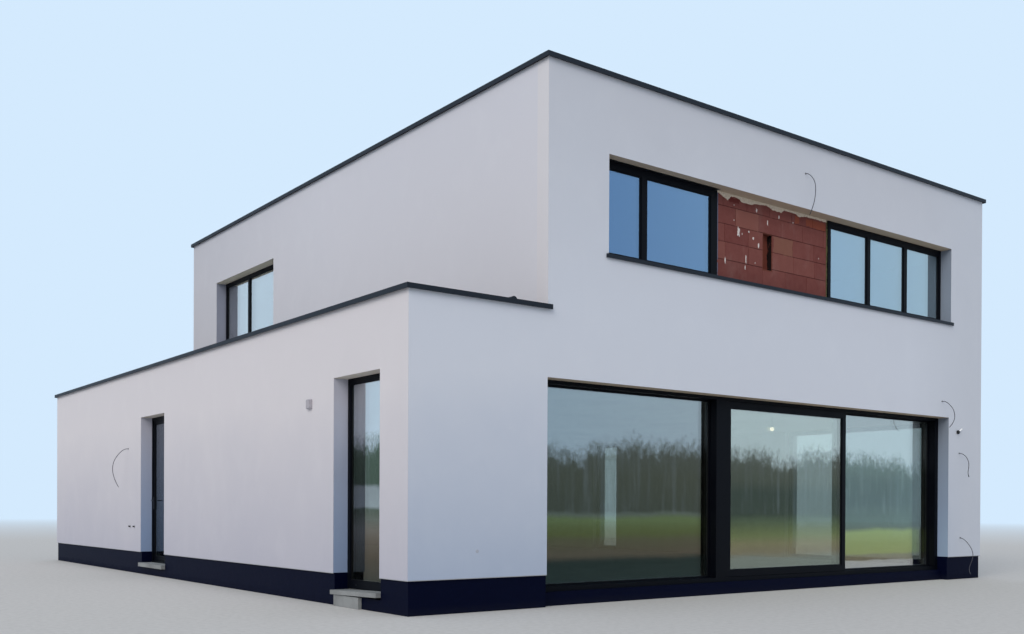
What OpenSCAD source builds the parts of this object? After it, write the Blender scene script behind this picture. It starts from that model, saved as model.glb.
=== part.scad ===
// Detached house with two storeys, a low strip on its left side and a flat roof.
// Millimetres, Z up, X to the right along the front, Y from the front to the back.
// The origin lies at ground level, in the middle of the outline with its roof caps.

/* [Body] */
// Width of the two-storey block
main_w = 9780; // [9600:20:10400]
// Width of the one-storey strip on the left
wing_w = 1940; // [1500:20:2600]
// Depth of the two-storey block
main_d = 11660; // [11400:20:12600]
// Depth of the ground storey
house_d = 14640; // [14200:20:16000]

/* [Walls] */
// Thickness of the render with the insulation behind it
shell_t = 215; // [195:5:260]
// Thickness of the clay block leaf
leaf_t = 175; // [140:5:240]
// Height of the plinth
plinth_h = 390; // [320:10:450]
// Thickness of the plinth boards
plinth_t = 195; // [100:5:215]
// Depth from the render to a window frame
reveal_d = 195; // [150:5:210]

/* [Storeys] */
// Level of the ground floor
floor_z = 200; // [185:5:260]
// Height of the ground floor rooms, up to the lintels
ground_room_h = 2550; // [2450:10:2700]
// Thickness of the first floor
floor_t = 310; // [250:10:360]
// Height of the upper rooms, up to the lintels
upper_room_h = 2550; // [2450:10:2700]
// Thickness of the roof slab
roof_slab_t = 200; // [160:10:260]
// Thickness of the roof insulation with its membrane
roof_cover_t = 240; // [180:10:300]
// Height of the upper parapet above the roof covering
main_parapet_h = 525; // [300:5:700]
// Height of the lower parapet above the roof covering
wing_parapet_h = 270; // [200:5:400]

/* [Roof caps] */
// Height of a roof cap's face
cap_h = 60; // [45:5:90]
// Overhang of a roof cap in front of the render
cap_over = 45; // [30:5:60]
// Lap of a roof cap behind the parapet
cap_lap = 25; // [15:5:40]
// Drop of a roof cap's face below its board
cap_leg = 15; // [10:1:25]
// Thickness of a roof cap's face
cap_leg_t = 6; // [4:1:10]
// Fall of a roof cap towards the roof
cap_fall = 12; // [5:1:20]

/* [Front glazing] */
// Width of the wall to the right of the front glazing
front_pier_w = 1026; // [700:2:1300]
// Depth of the front frame's foot below the floor
foot_drop = 35; // [20:1:60]
// Left side of the post beside the sliding leaf
post_x = 3186; // [3000:2:3300]
// Width of that post
post_w = 212; // [180:2:240]
// Width of the sliding leaf
slider_w = 2764; // [2500:2:2860]
// Depth of the front frame, which holds two tracks
track_d = 185; // [175:5:200]
// Depth from the front frame's face to the fixed panes' beads
fixed_in = 120; // [115:1:125]
// Face width of the jambs of the front frame
jamb_w = 90; // [70:5:110]
// Face height of the head of the front frame
head_h = 45; // [40:1:60]
// Face height of the threshold of the front frame
foot_h = 60; // [50:1:80]
// Face width of the beads around the fixed panes
bead_w = 20; // [16:1:30]
// Face width of the stile behind the sliding leaf
stile_w = 107; // [80:1:120]
// Face width of the sliding leaf's rails
leaf_rail = 100; // [80:5:120]
// Thickness of the sliding leaf
leaf_rail_t = 68; // [60:1:72]
// Width of the rail that the sliding leaf runs on
runner_w = 12; // [8:1:14]

/* [Bare blocks] */
// Left side of the chase in the bare blocks
chase_x = 4162; // [4000:2:4400]
// Width of the chase
chase_w = 199; // [120:1:260]
// Height of the chase's lower end
chase_z = 4654; // [4500:2:4800]
// Height of the chase
chase_h = 515; // [300:5:700]
// Depth of the chase
chase_d = 70; // [40:5:90]

/* [Upper front windows] */
// Width of the wall at each end of the recess with both windows
strip_end = 975; // [900:5:1100]
// Height of the upper windows, from the sill to the lintel
upper_window_h = 1250; // [1000:10:1350]
// Width of the left window
left_window_w = 2203; // [2000:1:2400]
// Width of the right window
right_window_w = 3127; // [3000:1:3300]
// Face width of the head of both upper front windows
upper_head_w = 105; // [75:1:120]
// Face width of the left window's right stile
left_end_w = 140; // [75:1:160]

/* [Sills] */
// Distance that a sill stands out in front of the render
sill_out = 30; // [20:1:44]
// Height of a sill's nose
sill_lip = 50; // [30:1:60]
// Thickness of a sill's nose
sill_t = 6; // [4:1:10]
// Length of a sill's nose past the opening, at each end
sill_end = 40; // [20:5:60]
// Height of a sill at the window
sill_rise = 12; // [8:1:20]

/* [Frames] */
// Face width of a window frame
frame_w = 75; // [60:1:90]
// Depth of a window frame
frame_d = 75; // [70:1:80]
// Thickness of a glazing unit
glass_t = 28; // [24:1:36]
// Depth of the groove that holds a glazing unit
glass_groove = 14; // [10:1:18]
// Depth from the face of a frame to its glazing unit
glass_in = 24; // [18:1:28]
// Width of the recessed edge around a pane
edge_w = 12; // [8:1:16]
// Depth of that recessed edge
edge_d = 6; // [4:1:8]

/* [Side openings] */
// Distance from the front to the tall side window
tall_y0 = 608; // [560:2:700]
// Width of the tall side window
tall_w = 1112; // [900:2:1300]
// Face height of the tall window's foot
tall_foot = 103; // [80:1:120]
// Distance from the front to the side door
door_y0 = 7755; // [7600:5:7900]
// Width of the side door opening
door_w = 1205; // [1050:5:1250]
// Thickness of the steps under both side openings
step_t = 65; // [50:5:90]
// Distance that the steps stand out in front of the render
step_out = 44; // [20:1:44]
// Thickness of the loose slab under the tall window
slab_t = 52; // [40:1:60]
// Tilt of that slab
slab_tilt = 1.5; // [0:0.1:2]
// Distance from the upper side windows to the back of the block
side_window_back = 1248; // [1000:2:1600]
// Width of the upper side windows
side_window_w = 2660; // [2400:10:2800]
// Distance from the front to the ground window on the right side
right_window_y0 = 900; // [700:10:1200]
// Width of the ground window on the right side
right_side_w = 3030; // [2600:10:3400]
// Distance from the front to the narrow window on the right side
narrow_y0 = 8935; // [8600:5:9300]
// Width of the narrow window on the right side
narrow_w = 840; // [700:10:1100]
// Width of the windows at the back
back_window_w = 2660; // [2400:10:2800]

/* [Side door] */
// Running gap around a moving leaf
run_gap = 5; // [5:0.5:8]
// Gap at the lock side of the door leaf
lock_gap = 8; // [8:0.5:10]
// Face width of the door frame
door_frame_w = 45; // [40:1:60]
// Face height of the door's threshold
threshold_h = 38; // [25:1:45]
// Width of the stop that the door closes against
stop_w = 12; // [8:1:16]
// Face width of the door leaf's rails
door_rail = 72; // [66:1:100]
// Thickness of the door leaf
door_t = 62; // [58:1:64]
// Height of the lever above the floor
lever_h = 1090; // [1000:10:1150]
// Length of the lever's grip
grip_len = 125; // [110:5:140]
// Diameter of the lever
lever_d = 18; // [16:1:22]
// Distance from the door leaf to the middle of the grip
lever_out = 52; // [46:1:60]
// Thickness of the lever's plates
plate_t = 8; // [6:1:10]
// Width of the lever's plates
plate_w = 34; // [30:1:44]
// Height of the lever's plates
plate_h = 220; // [180:5:240]
// Diameter of the lever's spindle
spindle_d = 10; // [8:1:12]
// Height of a hinge knuckle
knuckle_h = 32; // [25:1:40]
// Radius of a hinge knuckle
knuckle_r = 9; // [8:0.5:9.5]
// Radius of a hinge pin
pin_r = 6; // [4:0.5:7]

/* [Wall fittings] */
// Diameter of the loose cables
cable_d = 11; // [9:1:13]
// Diameter of the sleeves that the cables leave by
sleeve_d = 26; // [22:1:32]
// Height of the small box on the left wall
box_h = 120; // [100:5:140]
// Width of the small box
box_w = 110; // [90:5:130]
// Depth of the small box
box_d = 40; // [30:1:44]

/* [Hidden] */

wall_t = shell_t + leaf_t;
ground_lintel = floor_z + ground_room_h;
first_floor_z = ground_lintel + floor_t;
wing_roof_z = first_floor_z + roof_cover_t;
wing_top = wing_roof_z + wing_parapet_h;
upper_lintel = first_floor_z + upper_room_h;
roof_z = upper_lintel + roof_slab_t;
main_roof_z = roof_z + roof_cover_t;
main_top = main_roof_z + main_parapet_h;
plinth_back = shell_t - plinth_t;
sill_z = upper_lintel - upper_window_h;
step_z = floor_z - step_t;
past = 50;
seat_gap = 0.3;

render_white = [0.80, 0.80, 0.83];
anthracite = [0.13, 0.15, 0.19];
plinth_dark = [0.10, 0.11, 0.16];
clay_red = [0.48, 0.27, 0.24];
concrete_grey = [0.62, 0.61, 0.59];
glass_blue = [0.45, 0.58, 0.68, 0.6];
cable_grey = [0.42, 0.43, 0.46];

// Openings are [start, end, bottom, top] along a wall.
glazing_w = main_w - front_pier_w;
glazing_z = floor_z - foot_drop;
tall_hole = [tall_y0, tall_y0 + tall_w, floor_z, ground_lintel];
door_hole = [door_y0, door_y0 + door_w, floor_z, ground_lintel];
side_window_end = main_d - side_window_back;
side_hole = [side_window_end - side_window_w, side_window_end, sill_z, upper_lintel];
strip_hole = [strip_end, main_w - strip_end, sill_z, upper_lintel];
left_window_end = strip_hole[0] + left_window_w;
right_window_start = strip_hole[1] - right_window_w;
right_hole = [right_window_y0, right_window_y0 + right_side_w, floor_z, ground_lintel];
narrow_hole = [narrow_y0, narrow_y0 + narrow_w, floor_z, ground_lintel];
back_mid = (main_w - wing_w) / 2;
back_hole = [back_mid - back_window_w / 2, back_mid + back_window_w / 2, floor_z, ground_lintel];
back_upper_hole = [(main_w - back_window_w) / 2, (main_w + back_window_w) / 2, sill_z,
    upper_lintel];

// Moves the house from its front left corner to the middle of its outline.
module place() translate([-(main_w - wing_w) / 2, -house_d / 2, 0]) children();

// A box between two corners.
module block(x, y, z) {
    translate([x[0], y[0], z[0]])
        cube([x[1] - x[0], y[1] - y[0], z[1] - z[0]]);
}

// A wall that runs along X, with its openings cut through.
module wall_x(x, y, z, holes = []) {
    difference() {
        block(x, y, z);
        for (h = holes)
            block([h[0], h[1]], [y[0] - past, y[1] + past], [h[2], h[3]]);
    }
}

// A wall that runs along Y, with its openings cut through.
module wall_y(x, y, z, holes = []) {
    difference() {
        block(x, y, z);
        for (h = holes)
            block([x[0] - past, x[1] + past], [h[0], h[1]], [h[2], h[3]]);
    }
}

// Frames are drawn along X with their outer face on Y = 0 and then turned to their wall.
module at_front(x, z) translate([x, reveal_d, z]) children();
module at_back(x, z) translate([x, house_d - reveal_d, z]) rotate([0, 0, 180]) children();
module at_back_upper(x, z) translate([x, main_d - reveal_d, z]) rotate([0, 0, 180]) children();
module at_left(y, z) translate([-wing_w + reveal_d, y, z]) rotate([0, 0, -90]) children();
module at_left_upper(y, z) translate([reveal_d, y, z]) rotate([0, 0, -90]) children();
module at_right(y, z) translate([main_w - reveal_d, y, z]) rotate([0, 0, 90]) children();

// A box as large as a pane, grown by an amount and spanning a depth.
module pane(x, z, grow, depth) {
    block([x[0] - grow, x[1] + grow], depth, [z[0] - grow, z[1] + grow]);
}

// The panes of a frame, as [left, right], between its stiles and bars.
function pane_edges(w, bars, end) = concat([frame_w], [for (b = bars) each b], [w - end]);

// A fixed frame with uprights. Each pane has a recessed edge and a groove for its glass.
module window_frame(w, h, bars = [], foot = frame_w, head = frame_w, end = frame_w) {
    edges = pane_edges(w, bars, end);
    z = [foot, h - head];
    difference() {
        cube([w, frame_d, h]);
        for (i = [0:2:len(edges) - 1]) {
            x = [edges[i], edges[i + 1]];
            pane(x, z, 0, [-past, frame_d + past]);
            pane(x, z, edge_w, [-past, edge_d]);
            pane(x, z, glass_groove, [glass_in, glass_in + glass_t]);
        }
    }
}

module window_glass(w, h, bars = [], foot = frame_w, head = frame_w, end = frame_w) {
    edges = pane_edges(w, bars, end);
    for (i = [0:2:len(edges) - 1])
        pane([edges[i], edges[i + 1]], [foot, h - head], glass_groove,
            [glass_in, glass_in + glass_t]);
}

module ground_slab() {
    color(concrete_grey)
        difference() {
            block([-wing_w + shell_t, main_w - shell_t], [shell_t, house_d - shell_t],
                [0, floor_z]);
            block([0, glazing_w], [shell_t - past, reveal_d + track_d],
                [glazing_z, floor_z + past]);
        }
}

// The block under the loose slab stands in a hollow of the plinth.
foot_len = 610;
foot_end = 60;
foot_out = 25;
foot_d = 100;
foot_y = [tall_hole[1] - foot_end - foot_len, tall_hole[1] - foot_end];
foot_x = [-wing_w - foot_out, -wing_w - foot_out + foot_d];

module plinth() {
    color(plinth_dark)
        difference() {
            block([-wing_w + plinth_back, main_w - plinth_back],
                [plinth_back, house_d - plinth_back], [0, plinth_h]);
            block([-wing_w + shell_t, main_w - shell_t], [shell_t, house_d - shell_t],
                [-past, plinth_h + past]);
            block([0, glazing_w], [-past, shell_t + past], [glazing_z, plinth_h + past]);
            block([0, glazing_w], [-past, reveal_d * 2 / 3], [-past, plinth_h + past]);
            for (h = [tall_hole, door_hole])
                block([-wing_w - past, -wing_w + shell_t + past], [h[0], h[1]],
                    [step_z, plinth_h + past]);
            for (h = [right_hole, narrow_hole])
                block([main_w - shell_t - past, main_w + past], [h[0], h[1]],
                    [floor_z, plinth_h + past]);
            block(foot_x, foot_y, [-past, step_z]);
            block([back_hole[0], back_hole[1]], [house_d - shell_t - past, house_d + past],
                [floor_z, plinth_h + past]);
        }
}

module first_floor_slab() {
    color(concrete_grey)
        block([-wing_w + shell_t, main_w - shell_t], [shell_t, house_d - shell_t],
            [ground_lintel, first_floor_z]);
}

module roof_slab() {
    color(concrete_grey)
        block([shell_t, main_w - shell_t], [shell_t, main_d - shell_t], [upper_lintel, roof_z]);
}

module roof_covering() {
    color(anthracite) {
        block([wall_t, main_w - wall_t], [wall_t, main_d - wall_t], [roof_z, main_roof_z]);
        block([-wing_w + wall_t, 0], [wall_t, house_d - wall_t], [first_floor_z, wing_roof_z]);
        block([0, main_w - wall_t], [main_d, house_d - wall_t], [first_floor_z, wing_roof_z]);
    }
}

module ground_blocks_front() {
    color(clay_red)
        for (x = [[-wing_w + shell_t, 0], [glazing_w, main_w - shell_t]])
            block(x, [shell_t, wall_t], [floor_z, ground_lintel]);
}

module ground_blocks_left() {
    color(clay_red)
        for (y = [[wall_t, tall_hole[0]], [tall_hole[1], door_hole[0]],
                [door_hole[1], house_d - wall_t]])
            block([-wing_w + shell_t, -wing_w + wall_t], y, [floor_z, ground_lintel]);
}

module ground_blocks_right() {
    color(clay_red)
        for (y = [[wall_t, right_hole[0]], [right_hole[1], narrow_hole[0]],
                [narrow_hole[1], house_d - wall_t]])
            block([main_w - wall_t, main_w - shell_t], y, [floor_z, ground_lintel]);
}

module ground_blocks_back() {
    color(clay_red)
        for (x = [[-wing_w + shell_t, back_hole[0]], [back_hole[1], main_w - shell_t]])
            block(x, [house_d - wall_t, house_d - shell_t], [floor_z, ground_lintel]);
}

// The bare blocks between both upper windows have a chase for a box that isn't fitted yet.
module upper_blocks_front() {
    color(clay_red)
        difference() {
            wall_x([shell_t, main_w - shell_t], [shell_t, wall_t], [first_floor_z, upper_lintel],
                [[strip_hole[0], left_window_end, sill_z, upper_lintel + past],
                    [right_window_start, strip_hole[1], sill_z, upper_lintel + past]]);
            block([chase_x, chase_x + chase_w], [shell_t - past, shell_t + chase_d],
                [chase_z, chase_z + chase_h]);
        }
}

module upper_blocks_left() {
    color(clay_red)
        wall_y([shell_t, wall_t], [wall_t, main_d - wall_t], [first_floor_z, upper_lintel],
            [[side_hole[0], side_hole[1], sill_z, upper_lintel + past]]);
}

module upper_blocks_right() {
    color(clay_red)
        wall_y([main_w - wall_t, main_w - shell_t], [wall_t, main_d - wall_t],
            [first_floor_z, upper_lintel],
            [[side_hole[0], side_hole[1], sill_z, upper_lintel + past]]);
}

module upper_blocks_back() {
    color(clay_red)
        wall_x([shell_t, main_w - shell_t], [main_d - wall_t, main_d - shell_t],
            [first_floor_z, upper_lintel],
            [[back_upper_hole[0], back_upper_hole[1], sill_z, upper_lintel + past]]);
}

module main_parapet() {
    color(concrete_grey)
        difference() {
            block([shell_t, main_w - shell_t], [shell_t, main_d - shell_t], [roof_z, main_top]);
            block([wall_t, main_w - wall_t], [wall_t, main_d - wall_t],
                [roof_z - past, main_top + past]);
        }
}

module wing_parapet() {
    color(concrete_grey)
        difference() {
            block([-wing_w + shell_t, main_w - shell_t], [shell_t, house_d - shell_t],
                [first_floor_z, wing_top]);
            block([-wing_w + wall_t, main_w - wall_t], [wall_t, house_d - wall_t],
                [first_floor_z - past, wing_top + past]);
            block([0, main_w], [0, main_d], [first_floor_z - past, wing_top + past]);
        }
}

module front_render_beside() {
    color(render_white) {
        block([-wing_w, 0], [0, shell_t], [plinth_h, wing_top]);
        block([glazing_w, main_w], [0, shell_t], [plinth_h, ground_lintel]);
    }
}

module front_render_over() {
    color(render_white)
        wall_x([0, main_w], [0, shell_t], [ground_lintel, main_top], [strip_hole]);
}

module left_render_beside() {
    color(render_white)
        for (y = [[shell_t, tall_hole[0]], [tall_hole[1], door_hole[0]], [door_hole[1], house_d]])
            block([-wing_w, -wing_w + shell_t], y, [plinth_h, ground_lintel]);
}

module left_render_over() {
    color(render_white)
        block([-wing_w, -wing_w + shell_t], [shell_t, house_d], [ground_lintel, wing_top]);
}

module left_render_upper() {
    color(render_white)
        wall_y([0, shell_t], [shell_t, main_d], [first_floor_z, main_top], [side_hole]);
}

module right_render() {
    color(render_white)
        difference() {
            block([main_w - shell_t, main_w], [shell_t, house_d], [plinth_h, main_top]);
            block([main_w - shell_t - past, main_w + past], [main_d, house_d + past],
                [wing_top, main_top + past]);
            for (h = [right_hole, narrow_hole, side_hole])
                block([main_w - shell_t - past, main_w + past], [h[0], h[1]], [h[2], h[3]]);
        }
}

module back_render_ground() {
    color(render_white)
        wall_x([-wing_w + shell_t, main_w - shell_t], [house_d - shell_t, house_d],
            [plinth_h, wing_top], [back_hole]);
}

module back_render_upper() {
    color(render_white)
        wall_x([shell_t, main_w - shell_t], [main_d - shell_t, main_d], [first_floor_z, main_top],
            [back_upper_hole]);
}

// Roof caps: a board with a folded face in front and behind. The top falls inwards from every
// side, so the lengths meet in mitres.
cap_w = wall_t + cap_over + cap_lap;
cap_board = cap_h - cap_leg;

// The space above a cap's top, seen along one direction.
function cap_fall_line(a) = [[a[0], cap_board], [a[0] + cap_w, cap_board - cap_fall],
    [a[1] - cap_w, cap_board - cap_fall], [a[1], cap_board], [a[1], cap_h + past],
    [a[0], cap_h + past]];

module cap_ring(x, y, z) {
    hole_x = [x[0] + cap_w, x[1] - cap_w];
    hole_y = [y[0] + cap_w, y[1] - cap_w];
    translate([0, 0, z])
        difference() {
            block(x, y, [-cap_leg, cap_board]);
            block(hole_x, hole_y, [-cap_leg - past, cap_h + past]);
            difference() {
                block([x[0] + cap_leg_t, x[1] - cap_leg_t], [y[0] + cap_leg_t, y[1] - cap_leg_t],
                    [-cap_leg - past, 0]);
                block([hole_x[0] - cap_leg_t, hole_x[1] + cap_leg_t],
                    [hole_y[0] - cap_leg_t, hole_y[1] + cap_leg_t], [-cap_leg - 2 * past, past]);
            }
            intersection() {
                translate([0, y[1] + past, 0]) rotate([90, 0, 0])
                    linear_extrude(y[1] - y[0] + 2 * past) polygon(cap_fall_line(x));
                translate([x[0] - past, 0, 0]) rotate([90, 0, 90])
                    linear_extrude(x[1] - x[0] + 2 * past) polygon(cap_fall_line(y));
            }
        }
}

module main_cap() {
    color(anthracite)
        cap_ring([-cap_over, main_w + cap_over], [-cap_over, main_d + cap_over], main_top);
}

// A half-round cover lies on the lower cap at the front.
cover_r = 45;
cover_x = -520;
cover_len = 90;
module wing_cap() {
    color(anthracite) {
        difference() {
            cap_ring([-wing_w - cap_over, main_w + cap_over], [-cap_over, house_d + cap_over],
                wing_top);
            block([0, main_w], [0, main_d], [wing_top - past, wing_top + cap_h + past]);
            block([cap_over, main_w + 2 * cap_over], [-2 * cap_over, main_d - cap_over],
                [wing_top - past, wing_top + cap_h + past]);
        }
        translate([cover_x, cover_len - cap_over / 2, wing_top + cap_board - cap_fall])
            rotate([90, 0, 0])
                linear_extrude(cover_len)
                    intersection() {
                        circle(cover_r, $fn = 48);
                        translate([-cover_r, 0]) square([2 * cover_r, cover_r]);
                    }
    }
}

// A folded sill: a sloping plate between the jambs and a nose with closed ends in front.
module sill(len) {
    rotate([90, 0, 90])
        linear_extrude(len)
            polygon([[0, 0], [0, 2], [reveal_d, sill_rise], [shell_t, sill_rise], [shell_t, 0]]);
    translate([-sill_end, 0, 0]) rotate([90, 0, 90])
        linear_extrude(len + 2 * sill_end)
            polygon([[-sill_out, -sill_lip], [sill_t - sill_out, -sill_lip],
                [sill_t - sill_out, -sill_t], [0, -sill_t], [0, 2], [-sill_out, 0]]);
    for (x = [-sill_end, len + sill_end - sill_t])
        block([x, x + sill_t], [-sill_out, 0], [-sill_lip, 0]);
}

module window_sills() {
    color(anthracite) {
        translate([strip_hole[0], 0, sill_z]) sill(strip_hole[1] - strip_hole[0]);
        translate([0, side_hole[1], sill_z]) rotate([0, 0, -90]) sill(side_window_w);
        translate([main_w, side_hole[0], sill_z]) rotate([0, 0, 90]) sill(side_window_w);
        translate([back_upper_hole[1], main_d, sill_z]) rotate([0, 0, 180]) sill(back_window_w);
    }
}

slab_end = 3;

// The door's step is set. The tall window's is a loose slab on a block, higher at its near end.
module door_steps() {
    color(concrete_grey) {
        block([-wing_w - step_out, -wing_w + shell_t], [door_hole[0], door_hole[1]],
            [step_z, floor_z]);
        translate([-wing_w - step_out, tall_hole[1], step_z]) rotate([-slab_tilt, 0, 0])
            block([0, step_out + reveal_d - seat_gap], [slab_end - tall_w, -slab_end],
                [0, slab_t]);
        block(foot_x, foot_y, [0, step_z]);
    }
}

// Front glazing. The sliding leaf runs on the outer track and the fixed panes sit behind it.
glazing_h = ground_lintel - glazing_z;
front_z = [foot_h, glazing_h - head_h];
left_pane_x = [jamb_w, post_x];
track_x = [post_x + post_w, glazing_w - jamb_w];
slider_x = track_x[0] + run_gap;
stile_x1 = slider_x + slider_w;
left_glass_x = [left_pane_x[0] + bead_w, left_pane_x[1] - bead_w];
right_glass_x = [stile_x1, track_x[1] - bead_w];
bead_z = [front_z[0] + bead_w, front_z[1] - bead_w];
fixed_glass_y = [fixed_in + glass_in, fixed_in + glass_in + glass_t];
slider_in = 10;
slider_mid = slider_in + leaf_rail_t / 2;
slider_h = front_z[1] - front_z[0] - 2 * run_gap;
channel_d = 12;
channel_w = runner_w + 8;
slider_glass_in = (leaf_rail_t - glass_t) / 2;
lip_w = 15;

module front_glazing_frame() {
    color(anthracite) at_front(0, glazing_z) {
        difference() {
            cube([glazing_w, track_d, glazing_h]);
            block(left_pane_x, [-past, fixed_in], front_z);
            block(track_x, [-past, fixed_in], front_z);
            block([track_x[0], stile_x1 - stile_w], [0, track_d + past], front_z);
            for (x = [left_glass_x, right_glass_x]) {
                block(x, [0, track_d + past], bead_z);
                pane(x, bead_z, glass_groove, fixed_glass_y);
            }
        }
        // Runner and head guide of the sliding leaf
        block(track_x, [slider_mid - runner_w / 2, slider_mid + runner_w / 2],
            [front_z[0], front_z[0] + run_gap + channel_d - seat_gap]);
        block(track_x, [slider_mid - runner_w / 2, slider_mid + runner_w / 2],
            [front_z[1] - run_gap - channel_d * 2 / 3, front_z[1]]);
        // Lip that meets the closed leaf's rear stile
        block([stile_x1 - 2 * lip_w, stile_x1 - lip_w],
            [slider_in + leaf_rail_t + run_gap, fixed_in], front_z);
    }
}

module front_fixed_glass() {
    color(glass_blue) at_front(0, glazing_z)
        for (x = [left_glass_x, right_glass_x])
            pane(x, bead_z, glass_groove, fixed_glass_y);
}

module in_slider() {
    translate([slider_x, reveal_d + slider_in, glazing_z + foot_h + run_gap]) children();
}

slider_pane_x = [leaf_rail, slider_w - leaf_rail];
slider_pane_z = [leaf_rail, slider_h - leaf_rail];

module sliding_leaf() {
    color(anthracite) in_slider()
        difference() {
            cube([slider_w, leaf_rail_t, slider_h]);
            pane(slider_pane_x, slider_pane_z, 0, [-past, leaf_rail_t + past]);
            pane(slider_pane_x, slider_pane_z, edge_w, [-past, edge_d]);
            pane(slider_pane_x, slider_pane_z, glass_groove,
                [slider_glass_in, slider_glass_in + glass_t]);
            for (z = [[-past, channel_d], [slider_h - channel_d, slider_h + past]])
                block([-past, slider_w + past],
                    [(leaf_rail_t - channel_w) / 2, (leaf_rail_t + channel_w) / 2], z);
        }
}

module sliding_leaf_glass() {
    color(glass_blue) in_slider()
        pane(slider_pane_x, slider_pane_z, glass_groove,
            [slider_glass_in, slider_glass_in + glass_t]);
}

// Side door. It is hinged on its near side and opens inwards.
door_h = ground_lintel - floor_z;
door_in = frame_d - door_t;
leaf_w = door_w - 2 * door_frame_w - run_gap - lock_gap;
leaf_h = door_h - door_frame_w - threshold_h - 2 * run_gap;
door_pane_x = [door_rail, leaf_w - door_rail];
door_pane_z = [door_rail, leaf_h - door_rail];
door_glass_in = (door_t - glass_t) / 2;
hinge_out = 10;
hinge_x = door_w - door_frame_w - run_gap / 2;
hinge_lug = 20;
knuckle_gap = 1;
hinge_len = 3 * knuckle_h + 2 * knuckle_gap;
hinge_levels = [180, (door_h - hinge_len) / 2, door_h - 180 - hinge_len];
pin_gap = 0.1;

module side_door_frame() {
    color(anthracite) at_left(door_hole[1], floor_z) {
        difference() {
            cube([door_w, frame_d, door_h]);
            block([door_frame_w, door_w - door_frame_w], [door_in - run_gap, frame_d + past],
                [threshold_h, door_h - door_frame_w]);
            block([door_frame_w + stop_w, door_w - door_frame_w - stop_w],
                [-past, door_in], [threshold_h, door_h - door_frame_w - stop_w]);
        }
        for (z = hinge_levels)
            translate([hinge_x, frame_d + hinge_out, z]) {
                for (k = [0, 2 * (knuckle_h + knuckle_gap)])
                    translate([0, 0, k]) {
                        cylinder(r = knuckle_r, h = knuckle_h, $fn = 48);
                        translate([run_gap / 2, -hinge_out, 0])
                            cube([hinge_lug, hinge_out, knuckle_h]);
                    }
                cylinder(r = pin_r, h = hinge_len, $fn = 48);
            }
    }
}

module in_door() {
    at_left(door_hole[1], floor_z)
        translate([door_frame_w + lock_gap, door_in, threshold_h + run_gap]) children();
}

// The middle of the spindle, on the outer face of the leaf.
module at_lever() {
    in_door() translate([door_rail / 2, 0, lever_h - threshold_h - run_gap]) children();
}

module spindle_bore() {
    translate([0, -past, 0]) rotate([-90, 0, 0])
        cylinder(d = spindle_d + 2 * seat_gap, h = door_t + 2 * past, $fn = 48);
}

module side_door_leaf() {
    color(anthracite) {
        difference() {
            in_door() cube([leaf_w, door_t, leaf_h]);
            in_door() {
                pane(door_pane_x, door_pane_z, 0, [-past, door_t + past]);
                pane(door_pane_x, door_pane_z, edge_w, [-past, edge_d]);
                pane(door_pane_x, door_pane_z, glass_groove,
                    [door_glass_in, door_glass_in + glass_t]);
            }
            at_lever() spindle_bore();
        }
        at_left(door_hole[1], floor_z)
            for (z = hinge_levels)
                translate([hinge_x, frame_d + hinge_out, z + knuckle_h + knuckle_gap])
                    difference() {
                        union() {
                            cylinder(r = knuckle_r, h = knuckle_h, $fn = 48);
                            translate([-run_gap / 2 - hinge_lug, -hinge_out, 0])
                                cube([hinge_lug, hinge_out, knuckle_h]);
                        }
                        translate([0, 0, -past])
                            cylinder(r = pin_r + pin_gap, h = knuckle_h + 2 * past, $fn = 48);
                    }
    }
}

module side_door_glass() {
    color(glass_blue) in_door()
        pane(door_pane_x, door_pane_z, glass_groove, [door_glass_in, door_glass_in + glass_t]);
}

// A flat shape with round corners, centred on X.
module rounded(w, h, r) {
    translate([-w / 2 + r, 0]) square([w - 2 * r, h]);
    translate([-w / 2, r]) square([w, h - 2 * r]);
    for (x = [r - w / 2, w / 2 - r], y = [r, h - r])
        translate([x, y]) circle(r, $fn = 32);
}

lock_drop = 92;
lock_d = 17;
lock_out = 3;
plate_low = plate_h * 0.7;
module side_door_plates() {
    color("silver") at_lever()
        for (y = [0, door_t + plate_t])
            difference() {
                translate([0, y, 0]) {
                    translate([0, 0, -plate_low]) rotate([90, 0, 0])
                        linear_extrude(plate_t) rounded(plate_w, plate_h, plate_w / 3);
                    translate([0, y > 0 ? lock_out : 0, -lock_drop]) rotate([90, 0, 0])
                        cylinder(d = lock_d, h = plate_t + lock_out, $fn = 32);
                }
                spindle_bore();
            }
}

// One lever handle, from its seat on the plate outwards along -Y.
module handle() {
    translate([0, -lever_out, 0]) {
        rotate([-90, 0, 0])
            cylinder(d = lever_d, h = lever_out - plate_t - seat_gap, $fn = 48);
        rotate([0, 90, 0]) cylinder(d = lever_d, h = grip_len, $fn = 48);
        sphere(d = lever_d, $fn = 48);
    }
}

module side_door_lever() {
    color("silver") at_lever() {
        handle();
        translate([0, door_t, 0]) mirror([0, 1, 0]) handle();
        translate([0, -plate_t - 1, 0]) rotate([-90, 0, 0])
            cylinder(d = spindle_d, h = door_t + 2 * plate_t + 2, $fn = 48);
    }
}

// Windows
upper_z = sill_z + sill_rise;
upper_h = upper_lintel - upper_z;
left_bars = [[740, 859]];
right_bars = [[1001, 1102], [2021, 2127]];
side_bars = [[1073, 1167]];
mullion_w = 100;
function mid_bar(w) = [[(w - mullion_w) / 2, (w + mullion_w) / 2]];

module left_side_frames() {
    color(anthracite) {
        at_left(tall_hole[1], floor_z) window_frame(tall_w, door_h, [], tall_foot);
        at_left_upper(side_hole[1], upper_z) window_frame(side_window_w, upper_h, side_bars);
    }
}

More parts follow.
